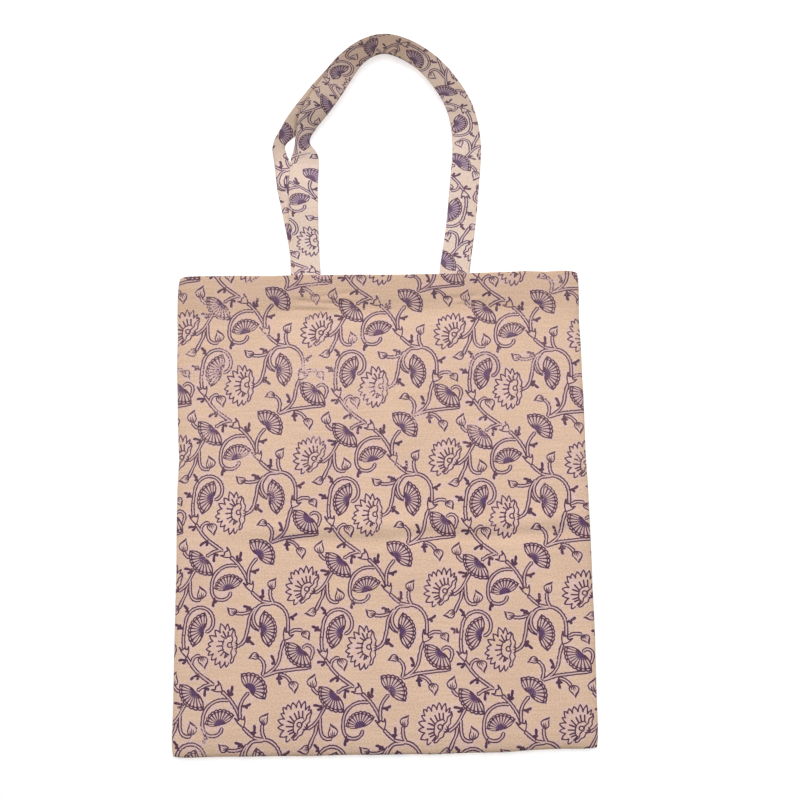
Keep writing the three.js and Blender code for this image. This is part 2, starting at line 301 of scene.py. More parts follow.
STROKE = 1.45  # width of a daisy's inner strokes
STROKE_OVER = 0.18  # how far they run past both ends, as a share of their length
BAND_WAVE = 0.55  # how wavy the band across a daisy is
BAND_WAVES, SEPAL_WAVES = 8, 9  # half waves along the band, and along the sepals' edge
SEPAL_BODY, SEPAL_POINT, SEPAL_CURL = 0.5, 0.2, 0.11  # how far the sepals reach out to the stem
FOOT_STEPS = 25  # points along the foot
FOOT_OVER = 0.05  # how far the bare foot runs back into the flower
SEPAL_RIBS, SEPAL_RIB, SEPAL_RIB_END = (0.36, 0.5, 0.64), 1.6, 0.25  # ribs of the sepals
# A bud: widths of its full and its flat side along it, and its inner strokes (across, reach).
BUD_SHARES = np.array([0.0, 0.14, 0.36, 0.6, 0.82])
BUD_FULL = np.array([0.14, 0.37, 0.48, 0.38, 0.17])
BUD_FLAT = np.array([0.12, 0.25, 0.25, 0.13, 0.03])
BUD_LEAST = 0.01
BUD_LINE = 0.9  # width of its outline, as a share of a line's
BUD_STROKE, BUD_STROKE_ROOT = 1.0, (0.02, 0.4)  # width of its strokes; where they start, up and across
BUD_STROKES = ((-0.06, 0.40), (0.10, 0.56), (0.25, 0.44))
ROUND_END = 0.8  # how far a line's end is rounded out, as a share of half its width

# The two daisies seen half from the side: their petals' tips and notches, the line round the heart,
# the strokes between (root, tip), the ring at the heart (middle, radius), the two ends of the band
# across the flower's foot, and the place where the stem meets its wavy sepals.
DAISIES = [
    {
        "tips": [(68.3, 64.6), (66.7, 61.2), (62.5, 57.2), (57.2, 56.7), (52, 58.7), (48, 60.5),
                 (44, 63), (42.5, 68.5), (40.2, 74.2), (40.5, 80.7), (42.5, 88), (48.2, 92.2)],
        "notches": [(65.6, 65.4), (63.2, 65), (59.5, 63.2), (55.5, 63.2), (51, 64.5), (47.2, 64.7),
                    (45.5, 68.7), (46, 73.2), (45, 78.2), (46, 82.7), (48.7, 87.5), (51.5, 90)],
        "heart": [(62.5, 73), (61, 71.5), (57.5, 72.5), (55, 74.5), (54, 77), (53.7, 80), (54, 83),
                  (55.5, 85.5)],
        "strokes": [((58.2, 70.5), (57.5, 66.7)), ((61.2, 71), (61, 66.7)), ((56, 72), (54.2, 68.5)),
                    ((53.5, 74.5), (50.7, 71.2)), ((53.2, 76.5), (49.2, 75)), ((53.2, 79.5), (48.5, 79.5)),
                    ((53.2, 82), (49.7, 83.5)), ((54, 84), (51, 85.5)), ((55.5, 85.5), (53, 88.5))],
        "ring": ((58.7, 77.7), 2.0),
        "band": ((68.0, 65.0), (54.0, 90.5)),
        "stem": (66.5, 81.5),
    },
    {
        "tips": [(116.8, -6.6), (112, -10), (106, -10.2), (101.5, -4.5), (97, 0.8), (96.2, 8), (95, 13),
                 (97, 18), (100, 22.2), (103.5, 26.5), (108.5, 29.2), (113, 28.5)],
        "notches": [(113.9, -4.2), (110.5, -4.8), (106.2, -1.8), (103.2, 1.7), (100.5, 5.7), (98.7, 10),
                    (98.7, 14.5), (101.5, 16.7), (104.2, 20.5), (107.7, 23.2), (112, 23.5), (115.2, 24.5)],
        "heart": [(115, 0.5), (111.5, 2), (109.7, 4.5), (109, 7.5), (109, 11), (109.7, 14), (112, 16),
                  (115, 17.5)],
        "strokes": [((111.5, 2), (109, -2.5)), ((113, 0.5), (113, -2.5)), ((110.5, 3), (107.5, 1)),
                    ((109.2, 6), (105.5, 5.5)), ((109, 9.5), (104.5, 10)), ((109.2, 13), (106, 14.5)),
                    ((110.2, 15), (108, 18)), ((112, 16), (111.5, 19.5)), ((113.5, 17), (113, 19))],
        "ring": ((115.2, 8.7), 2.2),
        "band": ((116.6, -6.0), (117.0, 25.0)),
        "stem": (123.5, 9.4),
    },
]

# Buds. Columns: base, tip, the side that swells (1 to the left of the way to the tip on the cloth).
BUDS = [
    ((21, 18.2), (11.2, 20.8), -1),
    ((49.5, 40), (53.3, 51.5), 1),
    ((68.3, 45.5), (70, 32.5), 1),
    ((90, 19.5), (95, 31), 1),
    ((27.5, 78.3), (32.2, 67.6), 1),
    ((87.2, 88.3), (84.8, 75.8), -1),
    ((68, 96), (57.3, 99.8), 1),
    ((119.3, 100.3), (110.2, 94.8), 1),
    ((56.8, 116), (63.6, 124.1), 1),
]

# Leaflets: the joint on the stem, then the tips of the blades, the longest first.
LEAFLETS = [
    [(9.8, 2), (16.2, 8.4), (13, 2.5), (10.8, 7)],
    [(34.7, 25), (31, 17), (31.8, 23.7)],
    [(38.8, 34.5), (40.5, 43.4), (36.8, 38.8), (42, 38.5)],
    [(78, 23), (70.8, 23.2), (74.5, 26)],
    [(89.3, 35.5), (82.8, 40.2), (88.8, 40.2)],
    [(97, 47), (96.5, 54.7), (99.7, 49.2), (95.5, 47.5)],
    [(9.2, 62.5), (16.5, 60.2), (14, 64.4)],
    [(20.2, 87.5), (20.3, 78.2), (22.2, 84.3), (17.8, 84.5)],
    [(11.8, 96.5), (4.2, 93.8), (9.8, 94), (7, 97)],
    [(45.3, 103.5), (51.7, 99.5), (49, 105.8)],
    [(77.5, 62.5), (69.4, 60.7), (73, 64.8), (75.5, 61)],
    [(76.8, 100.5), (71.8, 93.5), (75.4, 95.6), (73.5, 99)],
    [(99.3, 88), (98.5, 95.2), (100, 92)],
    [(72.2, 115), (64.5, 111), (69.5, 110.8), (67, 115)],
    [(117.8, 53.8), (119.5, 44.5), (116.3, 47.9), (120.5, 50.8)],
]
LEAF = 2.7  # width of a sprig's lobe
LEAF_LEAN = 0.6  # how far it bends to one side
# Widths of a leaf shape along it, as shares of its length and width.
POINTED = [(0.08, 0.55), (0.3, 1.0), (0.55, 0.9), (0.8, 0.5)]
BLUNT = [(0.06, 0.8), (0.4, 0.8), (0.76, 1.0), (0.96, 0.72)]
STALK, STALK_REACH, LEAF_ROOT = 1.2, 0.35, 0.05  # a sprig's stalk, how far it goes in, where leaves start

# Places on a panel where the block left less ink, so its lines break up, or more of it where the
# share is under 0. Columns: x, y, reach, share lost.
INK_PLACES = [
    (-160, -190, 26, 0.34),
    (-128, -203, 16, 0.20),
    (-150, -112, 18, 0.16),
    (-84, 118, 24, 0.16),
    (-40, 112, 22, 0.14),
    (-168, 165, 20, 0.12),
    (-108, 34, 18, 0.18),
    (-158, 58, 16, 0.16),
    (16, 130, 16, 0.20),
    (20, 72, 16, 0.12),
    (150, -15, 14, 0.12),
    (138, 16, 13, 0.16),
    (10, -95, 12, 0.10),
    (-114, -96, 12, 0.10),
    (-74, -22, 17, -0.42),
    (-94, -32, 14, -0.26),
    (-83, 182, 15, -0.40),
    (3, 158, 15, -0.40),
    (52, 190, 20, -0.34),
    (98, 115, 16, -0.36),
    (152, 108, 15, -0.34),
    (105, 39, 15, -0.32),
    (103, -69, 15, -0.32),
    (-105, -159, 15, -0.36),
    (-47, -173, 15, -0.36),
    (-133, -182, 14, -0.32),
    (-20, -188, 14, -0.32),
]
RICH = 2.2  # how much more a flower is stained where there is more ink
RICH_LIMITS = (0.5, 2.2)
UPPER_FROM, UPPER_TO = -60, 140  # heights between which a panel's upper part sets in
UPPER_DRY = 0.19  # share of the ink lost towards the mouth
UPPER_PALE = 0.07  # and how much paler what is left is

PANEL_WASH, PANEL_STAIN = 0.09, 0.54  # how much ink stains a flower's petals, and their roots
STRAP_WASH, STRAP_STAIN = 0.52, 0.85
PANEL_HOLLOW, STRAP_HOLLOW = 0.09, 0.09  # and the inside of a stem
HEAVY_HOLLOW = 0.75  # how much more where there is more ink
LOWER_RICH = 0.4  # how much more the flowers of the lower part are stained
POOLED = (0, 0, 0.28, 1, 0.6, 0.6)  # how much of the ink has run thin, by kind
STRAP_INK = 0.94  # how much of a handle's lines is ink
HEM_SHADE = 0.24  # how much painted shade darkens the hem's doubled cloth
HEM_SHADE_FADE = (-16, 14)  # from below its line to above it
HEM_SHADE_WANDER, HEM_SHADE_WANDER_LENGTH = 6, 60
# How much painted shade darkens a handle on its arms and crown. Columns: share of its length, darkening.
HANDLE_SHADE = [
    (0.23, 0.0),
    (0.27, 0.5),
    (0.31, 0.65),
    (0.38, 0.6),
    (0.44, 0.98),
    (0.53, 1.0),
    (0.60, 0.6),
    (0.67, 0.42),
    (0.73, 0.0),
]
CONTACT_SHADE, CONTACT_SHADE_REACH = 0.95, 2.6  # and a painted contact shadow on the lower handle beside the upper one's edge
CONTACT_SHADE_FROM, CONTACT_SHADE_TO = 150, 245  # along the upper handle

# Spacing of the points on the cloth.
GROUND_STEP, STRAP_GROUND_STEP = 5.6, 6.0  # plain cloth between the lines
INSIDE_STEP = 10.0  # the unprinted inside of a panel
CLEAR = 4  # how far such points stay off an edge
LINE_END, STITCH_END = 178, 176  # how far rows of points run out to the sides
MOUTH_ROWS = (0.5, 1.0, 1.5, 4.0)  # rows inside the mouth's edge
STITCH_ROWS, STITCH_ROW_STEP = (-2.6, -1.3, 0, 1.3, 2.6), 2.0  # rows along the hem's stitches
STRAP_ROW, STRAP_COLUMN, STRAP_COLUMNS = 2.5, 2.75, 4  # rows along a handle, columns each side of its middle
EDGE_INSETS = [0.1, 0.35, 0.8, 1.6, 3.2]
STRAP_INSETS = [0.12, 0.45, 1.0, 2.0]
EDGE_STEP = 3.0  # along the edges of the cloth
STRAP_STATIONS = 360
STRAP_ROUND = 1.3
TILTED = 1.35  # the tilt of a handle's cloth as a share of its solid's
FLAT_FOLD = 0.3  # height of a pressed fold as a share of a round one
SAME_POINT = 0.05  # edge points of a handle's two faces this close are one
UV_ROWS = 3  # a handle's faces are laid out flat in this many lengths
PANEL_MARGIN, STRAP_MARGIN, STRAP_ROW_GAP = 10, 4, 5  # clear space round what is laid out flat
CLOTH_START, UNDER_START = 400, 650  # where the weave's own pattern begins, and for a handle's underside
STRAP_DENT, STRAP_DENT_REACH = 0.16, 1.1  # how far a handle's stitches sink in
STRAP_WAVE, STRAP_WAVE_LENGTH = 0.05, 13  # small waves of a handle's faces

# Colours, linear.
CLOTH_LIGHT = (0.722, 0.513, 0.380, 1)
CLOTH_DARK = (0.592, 0.406, 0.288, 1)
# The handles' cloth is paler than the panels': painted light for the glare on the handles' legs.
STRAP_LIGHT = (0.757, 0.606, 0.515, 1)
STRAP_DARK = (0.642, 0.489, 0.395, 1)
PAINTED_SHADE_KEEPS = (0.470, 0.420, 0.375, 1)  # share of its colour that cloth keeps under painted shade
INSIDE_COLOUR = (0.660, 0.465, 0.345, 1)
INK_DEEP = (0.058, 0.020, 0.054, 1)
INK_THIN = (0.086, 0.030, 0.056, 1)
INK_WASH = (0.132, 0.066, 0.255, 1)  # ink that has run out thin
TINGE = (0.004, 0.004, 0.085, 1)  # what a line's ink adds to the cloth right beside it
THREAD_COLOUR = (0.630, 0.440, 0.325, 1)

# The weave: its threads, their slubs, the nap, and the broad clouds of tone.
THREAD_PITCH = 0.62  # from one thread to the next but one, in millimetres like the sizes below
WEAVE_SHARE, WEAVE_STRENGTH, WEAVE_DEPTH = 0.3, 0.35, 0.12
SLUBS, SLUB_STRETCH, NAP, CLOUDS = 2.2, 0.07, 1.4, 60
CLOUD_TONE, SLUB_TONE, NAP_TONE = 0.5, 0.7, 1.9
CLOTH_ROUGH, INK_ROUGH, THREAD_ROUGH = 0.92, 0.8, 0.75
CLOTH_SHINE, CLOTH_SHEEN, SHEEN_ROUGH = 0.18, 0.12, 0.5
# The ink: broad thin patches, the grain that breaks it up, and mottled tone.
INK_PATCHES, INK_GRAIN, INK_MOTTLE = 30, 1.3, 9
# Ranges of a value, and what it is spread to where that isn't 0 to 1.
TONE_RANGE = (1.05, 2.05)
BLEED_RANGE = (0.4, 1.0)
MOTTLE_RANGE = (0.35, 0.65)
PATCH_RANGE = (0.28, 0.60, 0.66, 1.0)
DRY_RANGE = (0.25, 1.0, 0.62, 0.10)
COVER_RANGE = (-0.09, 0.10, 0.05, 0.97)

# The camera looks down on the bag a little from the foot end.
CAMERA_AIM = Vector((18.02, 94.48, 0)) * MM
CAMERA_DISTANCE = 1200 * MM
CAMERA_TILT = 11.057
CAMERA_ROLL = -1.017
CAMERA_LENS = 60.63
SENSOR = 36

# The light and the floor, in metres.
FLOOR_SIZE = 6.0
FLOOR_DROP = 0.0004  # how far the floor lies under the bag
FLOOR_TONE, FLOOR_GLOW = 0.9, 0.13
ROOM_LIGHT = 0.24
SOFTBOX_PLACE, SOFTBOX_AIM = Vector((0.02, 0.32, 0.95)), Vector((0.02, 0.13, 0))
SOFTBOX_SIZE, SOFTBOX_POWER = 0.7, 4.5
WINDOW_WAY, WINDOW_POWER, WINDOW_SPREAD = Vector((0.08, -0.60, -0.80)), 1.94, 50


def smoothstep(value, low, high):
    share = np.clip((value - low) / (high - low), 0, 1)
    return share * share * (3 - 2 * share)


def roll_over(distance, reach):
    """Rises from 0 at an edge to 1 at the reach, as a quarter ellipse."""
    left = 1 - np.clip(distance / reach, 0, 1)
    return np.sqrt(1 - left * left)


def settle(distance, reach):
    """The same with a flatter top and a steeper edge."""
    left = 1 - np.clip(distance / reach, 0, 1)
    return (1 - left**3) ** (1 / 3)


def ripple(x, y, length, turn):
    """A gentle irregular wave of about that length, from -1 to 1."""
    total = 0
    for k in range(4):
        angle = turn + 1.9 * k
        pitch = 2 * math.pi / (length * (0.8 + 0.17 * k))
        total = total + np.sin(pitch * (x * math.cos(angle) + y * math.sin(angle)) + 2.3 * k + turn)
    return total / 4


# The block.


def carved(points):
    """How much wider or thinner a hand-carved line is at each point."""
    x, y = points[:, 0], points[:, 1]
    return 1 + 0.10 * np.sin(2.1 * x + 1.3 * y) + 0.08 * np.sin(2.9 * y - 1.7 * x + 1)


def smooth_line(points, step):
    points = np.asarray(points, float)
    ends = np.vstack([2 * points[0] - points[1], points, 2 * points[-1] - points[-2]])
    line = [points[:1]]
    for k in range(len(points) - 1):
        p0, p1, p2, p3 = ends[k : k + 4]
        count = max(math.ceil(np.linalg.norm(p2 - p1) / step), 1)
        t = (np.arange(1, count + 1) / count)[:, None]
        bend = (2 * p0 - 5 * p1 + 4 * p2 - p3) * t**2 + (3 * p1 - p0 - 3 * p2 + p3) * t**3
        line.append(0.5 * (2 * p1 + (p2 - p0) * t + bend))
    return np.vstack(line)


def ribbon(points, width, step=LINE_STEP):
    """The outline of a line of that width with rounded ends."""
    line = smooth_line(points, step)
    along = np.gradient(line, axis=0)
    along /= np.linalg.norm(along, axis=1, keepdims=True)
    side = np.column_stack([along[:, 1], -along[:, 0]])
    half = (width / 2 * carved(line))[:, None]
    first = line[:1] - along[:1] * half[:1] * ROUND_END
    last = line[-1:] + along[-1:] * half[-1:] * ROUND_END
    return np.vstack([first, line + side * half, last, (line - side * half)[::-1]])


def blade(root, tip, width, profile, lean=0.0):
    """The outline of a leaf shape from root to tip that may lean to one side."""
    root, tip = np.asarray(root, float), np.asarray(tip, float)
    way = tip - root
    side = np.array([way[1], -way[0]]) / np.linalg.norm(way)
    shares, halves = np.array(profile).T
    halves = halves * width / 2
    middle = root + shares[:, None] * way + (np.sin(math.pi * shares) * lean)[:, None] * side
    left = middle + halves[:, None] * side
    right = middle - halves[:, None] * side
    return np.vstack([root, left, tip, right[::-1]])


def circle(middle, radius, count=12):
    angle = np.arange(count) * 2 * math.pi / count
    return np.asarray(middle) + radius * np.column_stack([np.cos(angle), np.sin(angle)])


def paint_fan(paint, base, corner_1, corner_2, middle_radius):
    base = np.asarray(base, float)
    spoke_1, spoke_2 = np.asarray(corner_1) - base, np.asarray(corner_2) - base
    start = math.atan2(spoke_1[1], spoke_1[0])
    turn = (math.atan2(spoke_2[1], spoke_2[0]) - start + math.pi) % (2 * math.pi) - math.pi
    r1, r2 = np.linalg.norm(spoke_1), np.linalg.norm(spoke_2)

    def at(share, reach):
        share = np.asarray(share, float)
        radius = r1 + (r2 - r1) * share + (middle_radius - (r1 + r2) / 2) * np.sin(math.pi * share)
        angle = start + turn * share
        radius = radius * reach
        return base + np.column_stack([radius * np.cos(angle), radius * np.sin(angle)])

    # The whole fan in ink, with swelling sides, pointed corners and a scalloped rim.
    rim_shares = np.linspace(0, 1, 4 * FAN_PETALS + 1)
    scallops = FAN_RIM + FAN_SCALLOP * np.abs(np.sin(FAN_PETALS * math.pi * rim_shares))
    scallops[[0, -1]] = FAN_CORNER
    swell = np.array(FAN_SWELL)
    side_1, side_2 = at(-swell, FAN_SWELL_REACHES), at(1 + swell[::-1], FAN_SWELL_REACHES[::-1])
    paint(INK, np.vstack([base[None], side_1, at(rim_shares, scallops), side_2]))
    # A light slit inside each swelling side.
    slit = np.array(FAN_SLIT)
    paint(BARE, at(-slit, FAN_SLIT_REACHES))
    paint(BARE, at(1 + slit, FAN_SLIT_REACHES))
    # A long light petal with a light scallop above it, for each of the fan's sectors.
    sector = abs(turn) / FAN_PETALS
    reaches = np.array(PETAL_REACHES)
    ribs = FAN_RIB * np.array(PETAL_RIBS)
    arcs = middle_radius * reaches * sector
    halves = np.maximum(arcs - ribs, PETAL_LEAST) / 2 / (middle_radius * reaches * abs(turn))
    halves[-1] *= PETAL_TAPER
    bead_arc = max(middle_radius * BEAD_REACH * sector - BEAD_RIB, BEAD_LEAST)
    bead = bead_arc / 2 / (middle_radius * BEAD_REACH * abs(turn))
    for k in range(FAN_PETALS):
        share = (k + 0.5) / FAN_PETALS
        one, other = at(share - halves, reaches), at(share + halves, reaches)
        root, tip = at([share], [PETAL_ROOT]), at([share], [PETAL_TIP])
        paint(WASH, np.vstack([root, one, tip, other[::-1]]))
        root_1, root_2 = at(share - halves[:2], STAIN_REACH), at(share + halves[:2], STAIN_REACH)
        paint(STAIN, np.vstack([root, root_1, root_2[::-1]]))
        paint(BARE, at(share + bead * np.array(BEAD), BEAD_REACHES))
    paint(POOL, circle(at([0.5], [FAN_KNOT_REACH])[0], FAN_KNOT))


def paint_daisy(paint, daisy):
    tips, notches = np.array(daisy["tips"]), np.array(daisy["notches"])
    edge = np.empty((2 * len(tips), 2))
    edge[0::2], edge[1::2] = tips, notches
    paint(BARE, edge)
    for k, (tip, notch) in enumerate(zip(tips, notches)):
        before = notches[k - 1] if k else 2 * tip - notch
        for side, other in ((notch, before), (before, notch)):
            if k or side is notch:
                bulge = (tip + side) / 2 + (side - other) * PETAL_BULGE
                paint(INK, ribbon([tip, bulge, side], LINE))
    paint(INK, ribbon(daisy["heart"], LINE))
    for root, tip in daisy["strokes"]:
        root, tip = np.array(root), np.array(tip)
        way = tip - root
        paint(INK, ribbon([root - way * STROKE_OVER, tip + way * STROKE_OVER], STROKE))
    middle, radius = daisy["ring"]
    paint(INK, circle(middle, radius + LINE / 2))
    paint(BARE, circle(middle, radius - LINE / 2, 8))
    # The foot of the flower: a band across it, and wavy sepals that close in on the stem.
    end_1, end_2 = (np.array(end) for end in daisy["band"])
    stem = np.array(daisy["stem"])
    shares = np.linspace(0, 1, FOOT_STEPS)[:, None]
    straight = end_1 + shares * (end_2 - end_1)
    out = stem - (end_1 + end_2) / 2
    arch = np.sin(math.pi * shares)
    curls = SEPAL_CURL * arch * np.sin(SEPAL_WAVES * math.pi * shares)
    sepals = straight + out * (SEPAL_BODY * np.abs(arch) ** 0.4 + SEPAL_POINT * arch**3 + curls)
    paint(BARE, np.vstack([sepals, end_1 - out * FOOT_OVER, end_2 - out * FOOT_OVER]))
    paint(INK, ribbon(sepals, LINE))
    waves = BAND_WAVE * np.sin(BAND_WAVES * math.pi * shares) * out / np.linalg.norm(out)
    paint(INK, ribbon(straight + waves, LINE))
    for share in SEPAL_RIBS:
        foot = end_1 + share * (end_2 - end_1)
        paint(INK, blade(stem, foot + (stem - foot) * SEPAL_RIB_END, SEPAL_RIB, POINTED))


def paint_bud(paint, base, tip, swell):
    base, tip = np.asarray(base, float), np.asarray(tip, float)
    way = tip - base
    side = np.array([way[1], -way[0]]) * swell

    def drop(inset):
        cut = inset / np.linalg.norm(way)
        middle = base + (cut + BUD_SHARES * (1 - 3.0 * cut))[:, None] * way
        one = middle + np.maximum(BUD_FULL - cut, BUD_LEAST)[:, None] * side
        other = middle - np.maximum(BUD_FLAT - cut, BUD_LEAST)[:, None] * side
        return np.vstack([one, tip - 2.0 * cut * way, other[::-1]])

    paint(INK, drop(0))
    paint(BARE, drop(LINE * BUD_LINE))
    root_up, root_across = BUD_STROKE_ROOT
    for across, reach in BUD_STROKES:
        root = base + root_up * way + root_across * across * side
        paint(INK, blade(root, base + reach * way + across * side, BUD_STROKE, POINTED))


def paint_leaflet(paint, joint, tips):
    """A sprig of small leaves on a short stalk, the longest first."""
    joint, tips = np.array(joint), np.array(tips)
    way = tips.mean(axis=0) - joint
    stalk = joint - way / np.linalg.norm(way) * STALK
    paint(INK, ribbon([stalk, joint + way * STALK_REACH], LINE))
    for k, tip in enumerate(tips):
        lean = LEAF_LEAN if k % 2 else -LEAF_LEAN
        paint(INK, blade(joint + way * LEAF_ROOT, tip, LEAF, BLUNT, lean))


def block_shapes():
    """The whole block as outlines painted one after another, each with what it leaves."""
    shapes = []

    def paint(kind, outline):
        shapes.append((kind, outline))

    for stem in STEMS:
        paint(INK, ribbon(stem, STEM))
    for stem in STEMS:
        paint(HOLLOW, ribbon(stem, STEM - 2 * LINE))
    paint(INK, ribbon(THORN, LINE * THORN_LINE))
    for joint, *tips in LEAFLETS:
        paint_leaflet(paint, joint, tips)
    for lip_1, lip_2, point in CUPS:
        lip_1, lip_2, point = np.array(lip_1), np.array(lip_2), np.array(point)
        mouth = (lip_1 + lip_2) / 2
        bulge_1, bulge_2 = ((lip + point) / 2 + (lip - mouth) * CUP_BULGE for lip in (lip_1, lip_2))
        dips = [lip_1 * (1 - share) + lip_2 * share + (point - mouth) * deep for share, deep in CUP_DIPS]
        paint(BARE, np.vstack([lip_1, bulge_1, point, bulge_2, lip_2, *dips[::-1]]))
        paint(INK, ribbon([lip_1, bulge_1, point], LINE))
        paint(INK, ribbon([lip_2, bulge_2, point], LINE))
        paint(INK, ribbon([lip_1, *dips, lip_2], LINE * CUP_MOUTH))
    for daisy in DAISIES:
        paint_daisy(paint, daisy)
    for fan in FANS:
        paint_fan(paint, *fan)
    for bud in BUDS:
        paint_bud(paint, *bud)
    return shapes


def on_cloth(points):
    """Chart points in millimetres on the cloth."""
    points = np.asarray(points, float)
    return points[:, :1] / CHART * REPEAT_ACROSS + (1 - points[:, 1:] / CHART) * REPEAT_UP


BLOCK = [(kind, on_cloth(outline)) for kind, outline in block_shapes()]
BLOCK_LOWS = np.array([outline.min(axis=0) for _, outline in BLOCK])
BLOCK_HIGHS = np.array([outline.max(axis=0) for _, outline in BLOCK])
IMPRESSIONS = range(-8, 12)  # repeats tried each way


def prints_over(low, high):
    """Every impression of the block's outlines that touches a rectangle of cloth."""
    found = []
    for across in IMPRESSIONS:
        for up in IMPRESSIONS:
            move = across * REPEAT_ACROSS + up * REPEAT_UP
            touching = np.all((BLOCK_HIGHS + move > low) & (BLOCK_LOWS + move < high), axis=1)
            for k in np.flatnonzero(touching):
                kind, outline = BLOCK[k]
                found.append((kind, outline + move))
    return found


def inside(outline, points):
    """Which points an outline winds round."""
    x, y = points[:, :1], points[:, 1:]
    start, end = outline, np.roll(outline, -1, axis=0)
    turn = (end[:, 0] - start[:, 0]) * (y - start[:, 1]) - (x - start[:, 0]) * (end[:, 1] - start[:, 1])
    rising = (start[:, 1] <= y) & (end[:, 1] > y) & (turn > 0)
    falling = (start[:, 1] > y) & (end[:, 1] <= y) & (turn < 0)
    return rising.sum(axis=1) != falling.sum(axis=1)


def triangulate(low, high, loops, lines, points):
    """Triangles that fill a rectangle and follow closed loops, open lines and loose points."""
    (x0, y0), (x1, y1) = low, high
    verts = [(x0, y0), (x1, y0), (x1, y1), (x0, y1)]
    edges = [(0, 1), (1, 2), (2, 3), (3, 0)]
    for loop in loops:
        first, count = len(verts), len(loop)
        verts.extend(map(tuple, loop))
        edges.extend((first + k, first + (k + 1) % count) for k in range(count))
    for line in lines:
        first = len(verts)
        verts.extend(map(tuple, line))
        edges.extend((first + k, first + k + 1) for k in range(len(line) - 1))
    verts.extend(map(tuple, points))
    made = delaunay_2d_cdt([Vector(v) for v in verts], edges, [], 0, 1e-4, False)
    flat = np.array([v[:] for v in made[0]])
    triangles = np.array([f for f in made[2] if len(f) == 3])
    middles = flat[triangles].mean(axis=1)
    within = np.all((middles > low) & (middles < high), axis=1)
    triangles = triangles[within]
    used, triangles = np.unique(triangles, return_inverse=True)
    flat = flat[used]
    for axis in (0, 1):
        for bound in (low[axis], high[axis]):
            flat[np.abs(flat[:, axis] - bound) < 2e-3, axis] = bound
    return flat, triangles.reshape(-1, 3)


def grid_points(low, high, step, margin):
    """Staggered points over a rectangle, kept off its edges by a margin."""
    xs = np.arange(low[0] + margin, high[0] - margin, step)
    ys = np.arange(low[1] + margin, high[1] - margin, step)
    points = [(x + (k % 2) * step / 2, y) for k, y in enumerate(ys) for x in xs]
    points = np.array(points)
    return points[points[:, 0] < high[0] - margin]


def edge_points(low, high, step):
    """Points along the four edges of a rectangle, in order."""
    corners = np.array([low, (high[0], low[1]), high, (low[0], high[1])], float)
    sides = []
    for start, end in zip(corners, np.roll(corners, -1, axis=0)):
        count = max(round(np.linalg.norm(end - start) / step), 1)
        sides.append(start + np.arange(count)[:, None] / count * (end - start))
    return np.vstack(sides)


def inset_frames(low, high, insets, step):
    """Closed rectangles a little inside a rectangle."""
    low, high = np.array(low), np.array(high)
    return [edge_points(low + inset, high - inset, step) for inset in insets]


def printed_cloth(low, high, cut, insets, step, lines, points):
    """Flat cloth meshed along the print: points, triangles, and what the block left on each."""
    outline = cut.to_print(edge_points(low, high, EDGE_STEP))
    prints = prints_over(outline.min(axis=0), outline.max(axis=0))
    prints = [(kind, cut.from_print(outline)) for kind, outline in prints]
    loops = [outline for _, outline in prints] + inset_frames(low, high, insets, EDGE_STEP)
    ground = [grid_points(low, high, step, insets[-1] + 0.5), edge_points(low, high, EDGE_STEP)[1:], points]
    ground = np.vstack(ground)
    flat, triangles = triangulate(low, high, loops, lines, ground)
    middles = flat[triangles].mean(axis=1)
    left = np.full(len(triangles), BARE)
    by_height = np.argsort(middles[:, 1])
    heights = middles[by_height, 1]
    for kind, outline in prints:
        first, last = np.searchsorted(heights, (outline[:, 1].min(), outline[:, 1].max()))
        near = by_height[first:last]
        near = near[(middles[near, 0] > outline[:, 0].min()) & (middles[near, 0] < outline[:, 0].max())]
        left[near[inside(outline, middles[near])]] = kind
    return flat, triangles, left


class WholeCut:
    """A panel, which lies straight on the printed cloth it was cut from."""

    def to_print(self, flat):
        return flat

    def from_print(self, places):
        return places


class StrapCut:
    """How a handle's flat cloth lies on the printed cloth it was cut from."""

    def __init__(self, table):
        self.along, self.x, self.y, turn, self.bunched = np.array(table, float).T
        self.turn = np.radians(turn)

    def at(self, along):
        columns = (self.x, self.y, self.turn, self.bunched)
        return [np.interp(along, self.along, column) for column in columns]

    def to_print(self, flat):
        x, y, turn, bunched = self.at(flat[:, 1])
        across = flat[:, 0] / bunched
        return np.column_stack([x + across * np.cos(turn), y + across * np.sin(turn)])

    def from_print(self, places):
        along = np.interp(places[:, 1], self.y, self.along)
        for _ in range(4):
            x, _, turn, bunched = self.at(along)
            across = (places[:, 0] - x) / np.cos(turn)
            along = np.interp(places[:, 1] - across * np.sin(turn), self.y, self.along)
        return np.column_stack([across * bunched, along])


def in_upper_part(y):
    """0 in a panel's lower part, 1 near its mouth."""
    return smoothstep(y, UPPER_FROM, UPPER_TO)


def ink_load(points):
    """At each place of a panel: the share of its ink that the block gave, how rich it is, the surplus."""
    x, y = points[:, 0], points[:, 1]
    lost = np.zeros(len(points))
    for place_x, place_y, reach, share in INK_PLACES:
        lost += share * np.exp(-((x - place_x) ** 2 + (y - place_y) ** 2) / reach**2)
    upper = in_upper_part(y)
    rich = 1 + LOWER_RICH * (1 - upper) - RICH * lost
    return 1 - UPPER_DRY * upper - lost, np.clip(rich, *RICH_LIMITS), np.clip(-lost, 0, 1)


# Materials.


